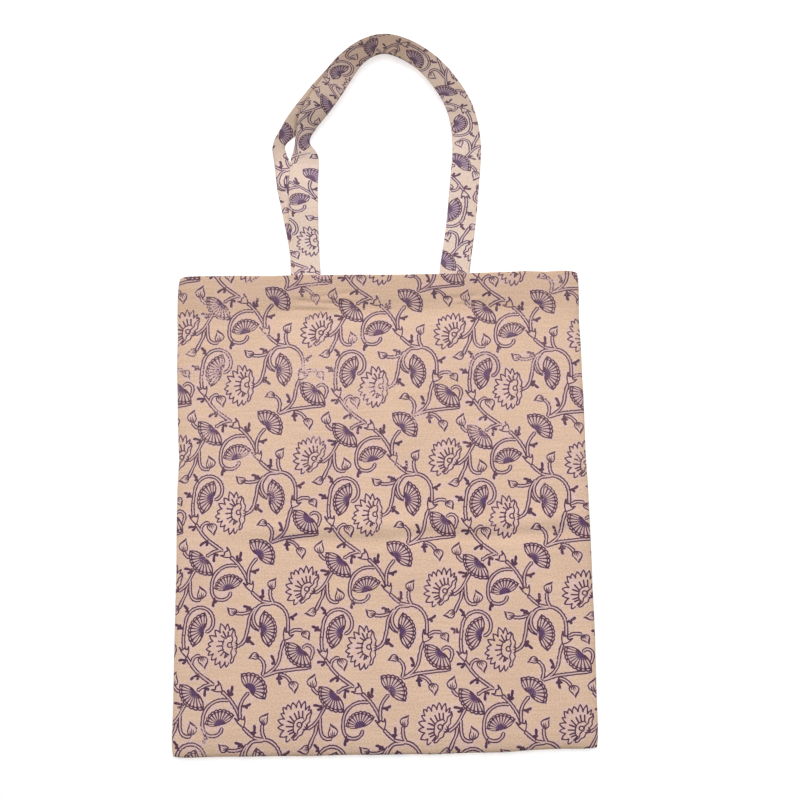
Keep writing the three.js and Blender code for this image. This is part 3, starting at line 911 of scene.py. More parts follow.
class Nodes:
    """A material put together from linked parts."""

    def __init__(self, name):
        self.material = bpy.data.materials.new(name)
        self.material.use_nodes = True
        self.tree = self.material.node_tree
        self.shader = self.tree.nodes["Principled BSDF"]

    def add(self, kind, settings=(), **inputs):
        made = self.tree.nodes.new(kind)
        for name, value in dict(settings).items():
            setattr(made, name, value)
        for name, value in inputs.items():
            self.set(made.inputs[name if not name.startswith("in_") else int(name[3:])], value)
        return made

    def set(self, socket, value):
        if isinstance(value, bpy.types.NodeSocket):
            self.tree.links.new(value, socket)
        else:
            socket.default_value = value

    def math(self, operation, a, b=0.0):
        return self.add("ShaderNodeMath", {"operation": operation}, in_0=a, in_1=b).outputs[0]

    def spread(self, value, low, high, to_low=0.0, to_high=1.0):
        made = self.add("ShaderNodeMapRange", {"interpolation_type": "SMOOTHSTEP"}, in_0=value)
        for place, bound in enumerate((low, high, to_low, to_high), start=1):
            made.inputs[place].default_value = bound
        return made.outputs[0]

    def mix(self, share, a, b, blend="MIX"):
        made = self.add("ShaderNodeMix", {"data_type": "RGBA", "blend_type": blend})
        self.set(made.inputs["Factor"], share)
        for socket in made.inputs:
            if socket.type == "RGBA":
                self.set(socket, a if socket.name == "A" else b)
        return next(o for o in made.outputs if o.type == "RGBA")

    def attribute(self, name):
        return self.add("ShaderNodeAttribute", {"attribute_name": name}).outputs["Fac"]

    def noise(self, where, size, detail=2.0):
        """Noise whose blobs are about that many millimetres across."""
        made = self.add("ShaderNodeTexNoise", {"noise_dimensions": "2D"}, Vector=where)
        made.inputs["Scale"].default_value = 1 / (size * MM)
        made.inputs["Detail"].default_value = detail
        return made.outputs["Fac"]

    def stretched(self, where, x, y):
        made = self.add("ShaderNodeMapping", {}, Vector=where)
        made.inputs["Scale"].default_value = (x, y, 1)
        return made.outputs["Vector"]


def weave(nodes, where):
    """Height of a plain weave with uneven threads, and its slubs and nap."""
    parts = nodes.add("ShaderNodeSeparateXYZ", {}, Vector=where)
    turn = 2 * math.pi / (THREAD_PITCH * MM)
    across = nodes.math("SINE", nodes.math("MULTIPLY", parts.outputs[0], turn))
    along = nodes.math("SINE", nodes.math("MULTIPLY", parts.outputs[1], turn))
    checks = nodes.math("MULTIPLY", across, along)
    slubs = nodes.noise(nodes.stretched(where, SLUB_STRETCH, 1.0), SLUBS)
    nap = nodes.noise(where, NAP)
    uneven = nodes.math("ADD", slubs, nap)
    height = nodes.math("ADD", nodes.math("MULTIPLY", checks, WEAVE_SHARE), uneven)
    return height, slubs, nap


def cloth_material(name, light, dark, inked=False):
    nodes = Nodes(name)
    where = nodes.add("ShaderNodeUVMap", {"uv_map": "cloth"}).outputs["UV"]
    height, slubs, nap = weave(nodes, where)
    clouds = nodes.math("MULTIPLY", nodes.noise(where, CLOUDS, 3), CLOUD_TONE)
    tone = nodes.math("ADD", clouds, nodes.math("MULTIPLY", slubs, SLUB_TONE))
    tone = nodes.math("ADD", tone, nodes.math("MULTIPLY", nap, NAP_TONE))
    colour = nodes.mix(nodes.spread(tone, *TONE_RANGE), dark, light)
    bleed = nodes.spread(nodes.attribute("bleed"), *BLEED_RANGE)
    colour = nodes.mix(bleed, colour, TINGE, "ADD")
    if inked:
        # The ink is thinner in broad patches, and where it is thin the grain of the cloth breaks it up.
        patches = nodes.spread(nodes.noise(where, INK_PATCHES), *PATCH_RANGE)
        grain = nodes.noise(where, INK_GRAIN)
        wet = nodes.math("MULTIPLY", nodes.attribute("ink_load"), patches)
        dry = nodes.spread(wet, *DRY_RANGE)
        cover = nodes.spread(nodes.math("SUBTRACT", grain, dry), *COVER_RANGE)
        mottle = nodes.spread(nodes.noise(where, INK_MOTTLE), *MOTTLE_RANGE)
        shade = nodes.mix(mottle, INK_THIN, INK_DEEP)
        shade = nodes.mix(nodes.attribute("pool"), shade, INK_WASH)
        colour = nodes.mix(nodes.math("MULTIPLY", cover, nodes.attribute("strength")), colour, shade)
    # Painted shade: the hem's band, the handles' arms and crown, and the lower handle beside the upper one
    # are darkened, ink and all.
    colour = nodes.mix(nodes.attribute("painted_shade"), colour, PAINTED_SHADE_KEEPS, "MULTIPLY")
    bump = nodes.add("ShaderNodeBump", {}, Height=height)
    bump.inputs["Strength"].default_value = WEAVE_STRENGTH
    bump.inputs["Distance"].default_value = WEAVE_DEPTH * MM
    shader = nodes.shader.inputs
    nodes.set(shader["Base Color"], colour)
    nodes.set(shader["Normal"], bump.outputs["Normal"])
    shader["Roughness"].default_value = INK_ROUGH if inked else CLOTH_ROUGH
    shader["Specular IOR Level"].default_value = CLOTH_SHINE
    shader["Sheen Weight"].default_value = CLOTH_SHEEN
    shader["Sheen Roughness"].default_value = SHEEN_ROUGH
    return nodes.material


cotton = cloth_material("cotton", CLOTH_LIGHT, CLOTH_DARK)
ink_on_cotton = cloth_material("ink_on_cotton", CLOTH_LIGHT, CLOTH_DARK, inked=True)
cotton_inside = cloth_material("cotton_inside", INSIDE_COLOUR, CLOTH_DARK)
strap_cotton = cloth_material("strap_cotton", STRAP_LIGHT, STRAP_DARK)
ink_on_strap = cloth_material("ink_on_strap", STRAP_LIGHT, STRAP_DARK, inked=True)
thread = Nodes("thread").material
thread_shader = thread.node_tree.nodes["Principled BSDF"].inputs
thread_shader["Base Color"].default_value = THREAD_COLOUR
thread_shader["Roughness"].default_value = THREAD_ROUGH


# Pieces of the bag.


def add_object(name, data):
    made = bpy.data.objects.new(name, data)
    bpy.context.scene.collection.objects.link(made)
    return made


def beside_ink(triangles, kinds, count):
    """1 at the points of a mesh that touch ink, 0 at the others."""
    bleed = np.zeros(count)
    bleed[np.unique(triangles[np.asarray(kinds) == 1])] = 1
    return bleed


def make_piece(name, verts, triangles, materials, kinds, cloth_uv, flat_uv, **face_values):
    """A smooth piece from arrays in millimetres; the uv arrays have a row for each corner."""
    mesh = bpy.data.meshes.new(name)
    mesh.from_pydata((np.asarray(verts) * MM).tolist(), [], np.asarray(triangles).tolist())
    for material in materials:
        mesh.materials.append(material)
    mesh.polygons.foreach_set("material_index", np.asarray(kinds, np.int32))
    mesh.polygons.foreach_set("use_smooth", np.ones(len(triangles), bool))
    for layer, uvs in (("cloth", cloth_uv), ("OFBake", flat_uv)):
        mesh.uv_layers.new(name=layer).uv.foreach_set("vector", np.asarray(uvs, np.float32).ravel())
    for label, values in face_values.items():
        attribute = mesh.attributes.new(label, "FLOAT", "FACE")
        attribute.data.foreach_set("value", np.asarray(values, np.float32))
    bleed = beside_ink(np.asarray(triangles), kinds, len(verts))
    mesh.attributes.new("bleed", "FLOAT", "POINT").data.foreach_set("value", bleed.astype(np.float32))
    mesh.update()
    return add_object(name, mesh)


# The panels.


def fold_height(fold, x, y):
    fold_x, fold_y, length, angle, width, height = fold
    turn = math.radians(angle)
    along = (x - fold_x) * math.cos(turn) + (y - fold_y) * math.sin(turn)
    across = (y - fold_y) * math.cos(turn) - (x - fold_x) * math.sin(turn)
    fade = 1 - smoothstep(np.abs(along), length / 4, length / 2)
    return height * fade * np.exp(-((across / width) ** 2))


def fold_points():
    """Rows of points along the narrow folds, so the mesh can follow them."""
    rows = []
    for x, y, length, angle, width, _ in FRONT_FOLDS:
        if width <= NARROW_FOLD:
            turn = math.radians(angle)
            along = np.arange(-length / 2, length / 2, max(width, 3.0))
            for across in np.arange(-2, 2.1, 0.5) * width:
                row_x = x + along * math.cos(turn) - across * math.sin(turn)
                row_y = y + along * math.sin(turn) + across * math.cos(turn)
                rows.append(np.column_stack([row_x, row_y]))
    points = np.vstack(rows)
    within = (np.abs(points[:, 0]) < HALF_WIDTH - CLEAR) & (np.abs(points[:, 1]) < HALF_HEIGHT - CLEAR)
    return points[within]


def near_stitches(y, reach):
    """1 at the hem's row of stitches, falling off over the reach."""
    return np.exp(-(((y - STITCH_LINE) / reach) ** 2))


def front_top(x, y):
    """Top face of the relaxed front panel, with its folds, creases and puckers."""
    seam = SEAM_TOP + (HEM_SEAM_TOP - SEAM_TOP) * smoothstep(y, HEM_LINE - HEM_RAMP, HEM_LINE)
    sides = roll_over(HALF_WIDTH - np.abs(x), SIDE_ROLL)
    bottom = settle(y + HALF_HEIGHT, BOTTOM_ROLL)
    wander = FOLD_WANDER * ripple(x, y, WANDER_LENGTH, 0.3)
    folds = sum(fold_height(fold, x, y + wander) for fold in FRONT_FOLDS)
    relaxed = sum(height * ripple(x, y, length, turn) for height, length, turn in RELAXED)
    stitch = FRONT_DENT * near_stitches(y, DENT_REACH)
    pucker = PUCKER * ripple(x, y * PUCKER_STRETCH, PUCKER_LENGTH, 0.2) * near_stitches(y, PUCKER_REACH)
    return seam + sides * bottom * (LOFT + SEAM_TOP - seam + folds + relaxed + pucker - stitch)


def front_faces(x, y):
    """Outer and inner heights of the front panel, joined at its edges."""
    top = front_top(x, y)
    wall = CLOTH + (HEM - CLOTH) * smoothstep(y, HEM_LINE - HEM_STEP, HEM_LINE)
    under = top - wall
    mouth = 1 - roll_over(HALF_HEIGHT - y, MOUTH_ROUND)
    top = top - wall / 2 * mouth
    under = under + wall / 2 * mouth
    edge = np.minimum(HALF_WIDTH - np.abs(x), y + HALF_HEIGHT)
    return under + (top - under) * roll_over(edge, SEAM_ROUND), under


def back_faces(x, y):
    """The same for the back panel, which lies flat."""
    top = CLOTH + (HEM - CLOTH) * smoothstep(y, HEM_LINE - HEM_STEP, HEM_LINE)
    mouth = 1 - roll_over(HALF_HEIGHT - y, MOUTH_ROUND)
    bottom = top / 2 * mouth
    stitch = BACK_DENT * near_stitches(y, DENT_REACH)
    top = top - top / 2 * mouth
    edge = np.minimum(HALF_WIDTH - np.abs(x), y + HALF_HEIGHT)
    return top + (bottom + stitch - top) * roll_over(edge, SEAM_ROUND), top


def eased(plan):
    """Places of a panel with its edges drawn in or spread, so its outline is uneven and its corners round."""
    x, y = plan[:, 0], plan[:, 1]
    off_side, off_end = HALF_WIDTH - np.abs(x), HALF_HEIGHT - np.abs(y)
    at_side, at_end = (1 - smoothstep(off, 0, EASE_REACH) for off in (off_side, off_end))
    side_wave = EDGE_WAVE * (0.5 + 0.5 * ripple(np.sign(x) * BAG_WIDTH, y, EDGE_WAVE_LENGTH, 0.6))
    end_wave = EDGE_WAVE * (0.5 + 0.5 * ripple(x, np.sign(y) * BAG_WIDTH, EDGE_WAVE_LENGTH, 1.4))
    side_y, left, right = np.array(SIDE_SPREAD).T
    end_x, bottom, top = np.array(END_SPREAD).T
    side_spread = np.where(x < 0, np.interp(y, side_y, left), np.interp(y, side_y, right))
    end_spread = np.where(y < 0, np.interp(x, end_x, bottom), np.interp(x, end_x, top))
    side_pull = at_side * (side_wave - side_spread + CORNER_PULL * np.exp(-off_end / CORNER_REACH))
    end_pull = at_end * (end_wave - end_spread + CORNER_PULL * np.exp(-off_side / CORNER_REACH))
    return np.column_stack([x - np.sign(x) * side_pull, y - np.sign(y) * end_pull])


PANEL_LOW = (-HALF_WIDTH, -HALF_HEIGHT)
PANEL_HIGH = (HALF_WIDTH, HALF_HEIGHT)


def edge_of(flat, low, high):
    """Points of a mesh that lie on its rectangle's edge."""
    return np.any((flat == low) | (flat == high), axis=1)


def panel_cloth():
    """The flat printed face of a panel and its plain inner face, which share their edge points."""
    columns = np.arange(-STITCH_END, STITCH_END + 1, STITCH_ROW_STEP)
    stitch_points = np.array([(x, STITCH_LINE + off) for off in STITCH_ROWS for x in columns])
    extra = np.vstack([stitch_points, fold_points()])
    face = printed_cloth(PANEL_LOW, PANEL_HIGH, WholeCut(), EDGE_INSETS, GROUND_STEP, (), extra)
    flat = face[0]
    rim = flat[edge_of(flat, PANEL_LOW, PANEL_HIGH)]
    heights = [HALF_HEIGHT - off for off in MOUTH_ROWS] + [HEM_LINE - HEM_STEP, HEM_LINE]
    lines = [np.array([(-LINE_END, y), (LINE_END, y)]) for y in heights]
    inner = grid_points(PANEL_LOW, PANEL_HIGH, INSIDE_STEP, CLEAR)
    lining = triangulate(PANEL_LOW, PANEL_HIGH, [], lines, np.vstack([rim, inner]))
    return face, lining


def make_panel(name, faces, mirrored, face, lining):
    flat, triangles, left = face
    inner_flat, inner_triangles = lining
    # Edge points of the inner face are the outer face's own.
    rim = np.flatnonzero(edge_of(flat, PANEL_LOW, PANEL_HIGH))
    keys = {tuple(np.round(flat[k], 3)): k for k in rim}
    on_edge = edge_of(inner_flat, PANEL_LOW, PANEL_HIGH)
    place = np.empty(len(inner_flat), int)
    fresh = np.flatnonzero(~on_edge)
    place[fresh] = len(flat) + np.arange(len(fresh))
    for k in np.flatnonzero(on_edge):
        place[k] = keys[tuple(np.round(inner_flat[k], 3))]
    flip = -1 if mirrored else 1
    plan = np.vstack([flat, inner_flat[fresh]]) * (flip, 1)
    outer, inner = faces(plan[:, 0], plan[:, 1])
    heights = np.where(np.arange(len(plan)) < len(flat), outer, inner)
    verts = np.column_stack([eased(plan), heights])
    # A mirrored face turns its triangles over, so the back panel's print faces down.
    corners = np.vstack([triangles, place[inner_triangles][:, ::-1]])
    plain = np.zeros(len(inner_triangles))
    kinds = np.concatenate([left != BARE, plain + 2])
    pools = np.concatenate([np.choose(left, POOLED), plain])
    print_places = flat[triangles].mean(axis=1)
    pale = 1 - UPPER_PALE * in_upper_part(print_places[:, 1])
    load, rich, heavy = ink_load(print_places)
    hollow = PANEL_HOLLOW + HEAVY_HOLLOW * heavy
    stained = np.choose(left, (0, 1, 1, PANEL_WASH * rich, np.minimum(PANEL_STAIN * rich, 1), hollow))
    strengths = np.concatenate([stained * pale, plain])
    corner_flat = np.vstack([flat[triangles], inner_flat[inner_triangles[:, ::-1]]]).reshape(-1, 2)
    inner_corner = np.repeat(np.arange(len(corners)) >= len(triangles), 3)
    scale = 1 / (2 * BAG_WIDTH + 3 * PANEL_MARGIN)
    laid_out = (corner_flat + (HALF_WIDTH + PANEL_MARGIN, HALF_HEIGHT + PANEL_MARGIN)) * scale
    laid_out[inner_corner, 0] += (BAG_WIDTH + PANEL_MARGIN) * scale
    loads = np.concatenate([load, plain + 1])
    cloth_uv = (corner_flat + CLOTH_START) * MM
    materials = [cotton, ink_on_cotton, cotton_inside]
    middles = plan[corners].mean(axis=1)
    # Painted shade darkens the hem's band.
    wander = HEM_SHADE_WANDER * ripple(middles[:, 0], middles[:, 1], HEM_SHADE_WANDER_LENGTH, 0.9)
    fade_from, fade_to = (HEM_LINE + off for off in HEM_SHADE_FADE)
    painted_shade = HEM_SHADE * smoothstep(middles[:, 1] + wander, fade_from, fade_to)
    ink = {"ink_load": loads, "pool": pools, "strength": strengths, "painted_shade": painted_shade}
    return make_piece(name, verts, corners, materials, kinds, cloth_uv, laid_out, **ink)


# The handles.


def catmull(points, at):
    """Centripetal Catmull-Rom through points, at shares from 0 to 1."""
    points = np.asarray(points, float)
    ends = np.vstack([2 * points[0] - points[1], points, 2 * points[-1] - points[-2]])
    place = np.clip(np.asarray(at) * (len(points) - 1), 0, len(points) - 1 - 1e-9)
    k = place.astype(int)
    t = (place - k)[:, None]
    p0, p1, p2, p3 = ends[k], ends[k + 1], ends[k + 2], ends[k + 3]
    steps = ((p0, p1), (p1, p2), (p2, p3))
    d0, d1, d2 = (np.sqrt(np.linalg.norm(end - start, axis=1))[:, None] for start, end in steps)
    d1 = np.where(d1 < 1e-4, 1.0, d1)
    d0 = np.where(d0 < 1e-4, d1, d0)
    d2 = np.where(d2 < 1e-4, d1, d2)
    slope_1 = ((p1 - p0) / d0 - (p2 - p0) / (d0 + d1) + (p2 - p1) / d1) * d1
    slope_2 = ((p2 - p1) / d1 - (p3 - p1) / (d1 + d2) + (p3 - p2) / d2) * d1
    square, cube = 3 * p2 - 3 * p1 - 2 * slope_1 - slope_2, 2 * p1 - 2 * p2 + slope_1 + slope_2
    return p1 + slope_1 * t + square * t**2 + cube * t**3


class Strap:
    """The middle face of a handle, from a table and the heights of its solid."""

    def __init__(self, table, node):
        table = np.array(table, float)
        fine = np.linspace(0, 1, 4000)
        line = catmull(table[:, :2], fine)
        lengths = np.concatenate([[0], np.cumsum(np.linalg.norm(np.diff(line, axis=0), axis=1))])
        self.length = lengths[-1]
        self.along = np.linspace(0, self.length, STRAP_STATIONS)
        at = np.interp(self.along, lengths, fine)
        self.middle = catmull(table[:, :2], at)
        heading = np.gradient(self.middle, axis=0)
        heading /= np.linalg.norm(heading, axis=1, keepdims=True)
        self.side = np.column_stack([heading[:, 1], -heading[:, 0]])
        turns = catmull(table[:, 2:], at)
        self.roll = np.radians(turns[:, 0])
        solid_curl, self.curl = np.radians(np.maximum(turns[:, 1:], 0)).T
        self.lift = self.lifts(node)
        # The cloth tilts more than the solid, on the same outer edge.
        tilt = np.sin(self.roll)
        self.roll = self.roll * TILTED
        self.lift = self.lift + STRAP_WIDTH / 2 * (np.sin(self.roll) - tilt)
        # Its folds are pressed flatter than the solid's, on the same floor.
        floor = self.lift - self.depth(solid_curl)
        self.flat = 1 - (1 - FLAT_FOLD) * smoothstep(self.curl, math.radians(40), math.radians(170))
        self.lift = floor + self.flat * self.depth(self.curl)

    @staticmethod
    def depth(curl):
        """How far the edges of a round fold hang below its top."""
        bent = np.maximum(curl, 1e-3)
        return STRAP_WIDTH / bent * (1 - np.cos(bent / 2))

    def lifts(self, node):
        """Height of the strap's middle along it, read off its solid from above."""
        points = [node.matrix_world @ v.co for v in node.data.vertices]
        tree = BVHTree.FromPolygons(points, [tuple(p.vertices) for p in node.data.polygons])
        sink = np.sin(self.roll) * STRAP / 2
        tops = self.middle - self.side * sink[:, None]
        lifts = np.full(len(tops), np.nan)
        for k, (x, y) in enumerate(tops):
            hit = tree.ray_cast(Vector((x * MM, y * MM, 1)), Vector((0, 0, -1)))[0]
            if hit is not None:
                lifts[k] = hit.z / MM - math.cos(self.roll[k]) * STRAP / 2
        known = ~np.isnan(lifts)
        lifts = np.interp(self.along, self.along[known], lifts[known])
        kernel = np.hanning(11)
        padded = np.pad(lifts, 5, mode="edge")
        return np.convolve(padded, kernel / kernel.sum(), mode="valid")

    def frame_at(self, along):
        def read(values):
            if values.ndim == 1:
                return np.interp(along, self.along, values)
            return np.column_stack([np.interp(along, self.along, column) for column in values.T])

        kept = (self.middle, self.side, self.roll, self.curl, self.flat, self.lift)
        return [read(values) for values in kept]

    def place(self, across, along, rise):
        """Points of the strap at flat places, raised off its middle face by the given heights."""
        middle, side, roll, curl, flat, lift = self.frame_at(along)
        side = side / np.linalg.norm(side, axis=1, keepdims=True)
        side = np.column_stack([side, np.zeros(len(side))])
        up = np.array([0, 0, 1.0])
        out = side * np.cos(roll)[:, None] + up * np.sin(roll)[:, None]
        normal = up * np.cos(roll)[:, None] - side * np.sin(roll)[:, None]
        bent = np.maximum(curl, 1e-3)
        turn = across / STRAP_WIDTH * bent
        radius = STRAP_WIDTH / bent
        shift = radius * np.sin(turn)
        drop = flat * radius * (1 - np.cos(turn))
        facing = normal * np.cos(turn)[:, None] + out * (flat * np.sin(turn))[:, None]
        facing /= np.linalg.norm(facing, axis=1, keepdims=True)
        points = np.column_stack([middle, lift]) + out * shift[:, None] - normal * drop[:, None]
        return points + facing * rise[:, None], facing


STITCH_INSET = 2.6  # the row of stitches in from the handle's outer edge


def strap_rise(across, along):
    """Half the strap's thickness: full in the middle, rounded at its edges, dented by its stitches."""
    edge = STRAP_WIDTH / 2 - np.abs(across)
    half = STRAP / 2 * roll_over(edge, STRAP_ROUND)
    row = across + STRAP_WIDTH / 2 - STITCH_INSET
    dent = STRAP_DENT * np.exp(-((row / STRAP_DENT_REACH) ** 2))
    waves = STRAP_WAVE * ripple(across, along, STRAP_WAVE_LENGTH, 0.7) * roll_over(edge, 4)
    return half - dent * roll_over(edge, 2) + waves


def painted_handle_shade(share):
    """How much painted shade darkens a handle, at a share of its length."""
    return np.interp(share, *np.array(HANDLE_SHADE).T)


def nearest(points, others):
    """For each point, the nearest of the others and how far it is."""
    gaps = np.linalg.norm(points[:, None] - others[None], axis=2)
    match = gaps.argmin(axis=1)
    return match, gaps[np.arange(len(points)), match]


def make_strap(name, strap, cut, shadow_edge=None):
    half = STRAP_WIDTH / 2
    low, high = (-half, 0.0), (half, strap.length)
    row_ends = [strap.length * k / UV_ROWS for k in range(1, UV_ROWS)]
    lines = [np.array([(-half, end), (half, end)]) for end in row_ends]
    columns = STRAP_COLUMN * np.arange(-STRAP_COLUMNS, STRAP_COLUMNS + 1)
    rows = np.arange(STRAP_ROW, strap.length - 2, STRAP_ROW)
    points = np.array([(x, y) for y in rows for x in columns])
    settings = (low, high, cut, STRAP_INSETS, STRAP_GROUND_STEP, lines)
    flat, _, _ = printed_cloth(*settings, points)
    # The underside is the same cloth turned end for end, so both faces need each other's edge points.
    rim = flat[edge_of(flat, low, high)]
    turned = np.column_stack([rim[:, 0], strap.length - rim[:, 1]])
    missing = turned[nearest(turned, rim)[1] > SAME_POINT]
    flat, triangles, left = printed_cloth(*settings, np.vstack([points, missing]))
    turned = np.column_stack([flat[:, 0], strap.length - flat[:, 1]])
    top, _ = strap.place(flat[:, 0], flat[:, 1], strap_rise(flat[:, 0], flat[:, 1]))
    under, _ = strap.place(turned[:, 0], turned[:, 1], -strap_rise(turned[:, 0], turned[:, 1]))
    on_edge = np.flatnonzero(edge_of(flat, low, high))
    match, gap = nearest(turned[on_edge], flat[on_edge])
    shared = on_edge[gap < SAME_POINT]
    fresh = np.setdiff1d(np.arange(len(flat)), shared)
    place = np.empty(len(flat), int)
    place[fresh] = len(flat) + np.arange(len(fresh))
    place[shared] = on_edge[match[gap < SAME_POINT]]
    verts = np.vstack([top, under[fresh]])
    # Turning the cloth end for end also turns its triangles over, so the underside faces down.
    corners = np.vstack([triangles, place[triangles]])
    kinds = np.tile(left != BARE, 2)
    corner_flat = flat[triangles].reshape(-1, 2)
    heights = flat[triangles].mean(axis=1)[:, 1]
    row_length = strap.length / UV_ROWS
    row = np.repeat(np.minimum((heights // row_length).astype(int), UV_ROWS - 1), 3)
    scale = 1 / (row_length + 2 * STRAP_MARGIN)
    laid_out = []
    for face in range(2):
        u = (corner_flat[:, 1] - row * row_length + STRAP_MARGIN) * scale
        up = (row + face * UV_ROWS) * (STRAP_WIDTH + STRAP_ROW_GAP)
        v = (up + corner_flat[:, 0] + half + STRAP_MARGIN) * scale
        laid_out.append(np.column_stack([u, v]))
    cloth_places = cut.to_print(corner_flat)
    cloth_uv = np.vstack([cloth_places + CLOTH_START, cloth_places + (UNDER_START, CLOTH_START)]) * MM
    # Painted shade along the handle's arms and crown.
    middles = heights / strap.length
    painted_shade = np.concatenate([painted_handle_shade(middles), painted_handle_shade(1 - middles)])
    # A painted contact shadow on the lower handle beside the upper one's edge.
    if shadow_edge is not None:
        gap = nearest(top[triangles].mean(axis=1)[:, :2], shadow_edge)[1]
        painted_shade[: len(triangles)] += CONTACT_SHADE * np.exp(-((gap / CONTACT_SHADE_REACH) ** 2))
    materials = [strap_cotton, ink_on_strap]
    pools = np.tile(np.choose(left, POOLED), 2)
    shares = (0, STRAP_INK, STRAP_INK, STRAP_WASH, STRAP_STAIN, STRAP_HOLLOW)
    strengths = np.tile(np.choose(left, shares), 2)
    ink = {"ink_load": np.ones(len(corners)), "pool": pools, "strength": strengths, "painted_shade": painted_shade}
    return make_piece(name, verts, corners, materials, kinds, cloth_uv, np.vstack(laid_out), **ink)


# Stitches.

STITCH_LENGTH = 2.5
STITCH_PITCH = 3.2
STITCH_WIDTH = 0.5
STITCH_RINGS = ((-0.36, 0.8), (0.0, 1.0), (0.36, 0.8))  # share along, share of width
STITCH_ENDS = (-0.5, 0.5)
STITCH_SIDES = 6
STITCH_POINTS = len(STITCH_RINGS) * STITCH_SIDES + len(STITCH_ENDS)
STITCH_FLAT = 0.7  # height of a stitch as a share of its width
STITCH_SINK = 0.1  # how far its ends go into the cloth
HEM_STITCH_RISE, STRAP_STITCH_RISE = 0.12 * STITCH_WIDTH, 0.03  # how far its middle is raised off the cloth
SEAM_CLEAR = 4  # the hem's stitches stop short of the side seams
STITCH_SLACK = 0.1  # so that the last stitch of a row isn't lost
ROOT_CLEAR = 34  # a handle's stitches stop short of its sewn-in ends
SQUARE_MARGIN = 0.1  # clear space in the square that a stitch is laid out in


def stitch_mesh(places, directions, normals):
    """Short threads at places, lying along directions on faces with those normals."""
    verts, triangles = [], []
    for place, direction, normal in zip(places, directions, normals):
        direction = direction / np.linalg.norm(direction)
        across = np.cross(normal, direction)
        across /= np.linalg.norm(across)
        lift = np.cross(direction, across)
        first = len(verts)
        for share, width in STITCH_RINGS:
            for side in range(STITCH_SIDES):
                angle = 2 * math.pi * side / STITCH_SIDES
                offset = across * math.cos(angle) + lift * STITCH_FLAT * math.sin(angle)
                verts.append(place + direction * share * STITCH_LENGTH + offset * width * STITCH_WIDTH / 2)
        for share in STITCH_ENDS:
            verts.append(place + direction * share * STITCH_LENGTH - lift * STITCH_SINK)
        start, end = len(verts) - 2, len(verts) - 1
        for side in range(STITCH_SIDES):
            following = (side + 1) % STITCH_SIDES
            triangles.append((start, first + following, first + side))
            for ring in range(2):
                a, b = first + ring * STITCH_SIDES, first + (ring + 1) * STITCH_SIDES
                triangles.append((a + side, a + following, b + following))
                triangles.append((a + side, b + following, b + side))
            last = first + 2 * STITCH_SIDES
            triangles.append((end, last + side, last + following))
    return np.array(verts), np.array(triangles)


def make_stitches(name, places, directions, normals):
    verts, triangles = stitch_mesh(places, directions, normals)
    count = len(places)
    columns = math.ceil(math.sqrt(count))
    # Each thread is laid out in its own small square, its points scattered over it.
    per_stitch = len(triangles) // count
    corner_verts = triangles.reshape(-1)
    stitch = np.repeat(np.arange(count), per_stitch * 3)
    span = 1 - 2 * SQUARE_MARGIN
    right = (corner_verts % STITCH_POINTS) / STITCH_POINTS
    up = ((corner_verts * 7) % STITCH_POINTS) / STITCH_POINTS
    u = (stitch % columns + SQUARE_MARGIN + span * right) / columns
    v = (stitch // columns + SQUARE_MARGIN + span * up) / columns
    laid_out = np.column_stack([u, v])
    return make_piece(name, verts, triangles, [thread], np.zeros(len(triangles)), laid_out, laid_out)


def hem_stitches(name, faces, outward):
    x = np.arange(-HALF_WIDTH + SEAM_CLEAR, HALF_WIDTH - SEAM_CLEAR + STITCH_SLACK, STITCH_PITCH)
    y = np.full(len(x), STITCH_LINE)
    rise = HEM_STITCH_RISE * outward
    places = np.column_stack([eased(np.column_stack([x, y])), faces(x, y)[0] + rise])
    slope = faces(x + 0.5, y)[0] - faces(x - 0.5, y)[0]
    directions = np.column_stack([np.ones(len(x)), np.zeros(len(x)), slope])
    normals = np.column_stack([-slope, np.zeros(len(x)), np.ones(len(x))]) * outward
    return make_stitches(name, places, directions, normals)


def strap_stitches(name, strap):
    along = np.arange(ROOT_CLEAR, strap.length - ROOT_CLEAR, STITCH_PITCH)
    places, directions, normals = [], [], []
    for face in (1, -1):
        across = np.full(len(along), STITCH_INSET - STRAP_WIDTH / 2)
        rise = face * (strap_rise(across, along) + STRAP_STITCH_RISE)
        points, facing = strap.place(across, along, rise)
        ahead, _ = strap.place(across, along + 0.5, rise)
        behind, _ = strap.place(across, along - 0.5, rise)
        places.append(points)
        directions.append(ahead - behind)
        normals.append(facing * face)
    return make_stitches(name, np.vstack(places), np.vstack(directions), np.vstack(normals))


printed_face, plain_face = panel_cloth()
front_panel = make_panel("front_panel_cloth", front_faces, False, printed_face, plain_face)
back_panel = make_panel("back_panel_cloth", back_faces, True, printed_face, plain_face)
back_strap = Strap(BACK_HANDLE, nodes_by_name["back_handle"])
front_strap = Strap(FRONT_HANDLE, nodes_by_name["front_handle"])
# The outer edge of the front handle, beside which a contact shadow is painted on the back handle.
contact_edge_along = np.arange(CONTACT_SHADE_FROM, CONTACT_SHADE_TO, 1.0)
contact_edge_across = np.full(len(contact_edge_along), -STRAP_WIDTH / 2)
contact_edge_line, _ = front_strap.place(contact_edge_across, contact_edge_along, np.zeros(len(contact_edge_along)))
back_handle = make_strap("back_handle_cloth", back_strap, StrapCut(BACK_STRAP_PRINT), contact_edge_line[:, :2])
front_handle = make_strap("front_handle_cloth", front_strap, StrapCut(FRONT_STRAP_PRINT))
front_hem_stitches = hem_stitches("front_hem_stitches", front_faces, 1)
back_hem_stitches = hem_stitches("back_hem_stitches", back_faces, -1)
back_handle_stitches = strap_stitches("back_handle_stitches", back_strap)
front_handle_stitches = strap_stitches("front_handle_stitches", front_strap)

PANEL_FLAT = (BAG_WIDTH * MM, BAG_HEIGHT * MM)
BACK_FLAT = (STRAP_WIDTH * MM, back_strap.length * MM)
FRONT_FLAT = (STRAP_WIDTH * MM, front_strap.length * MM)
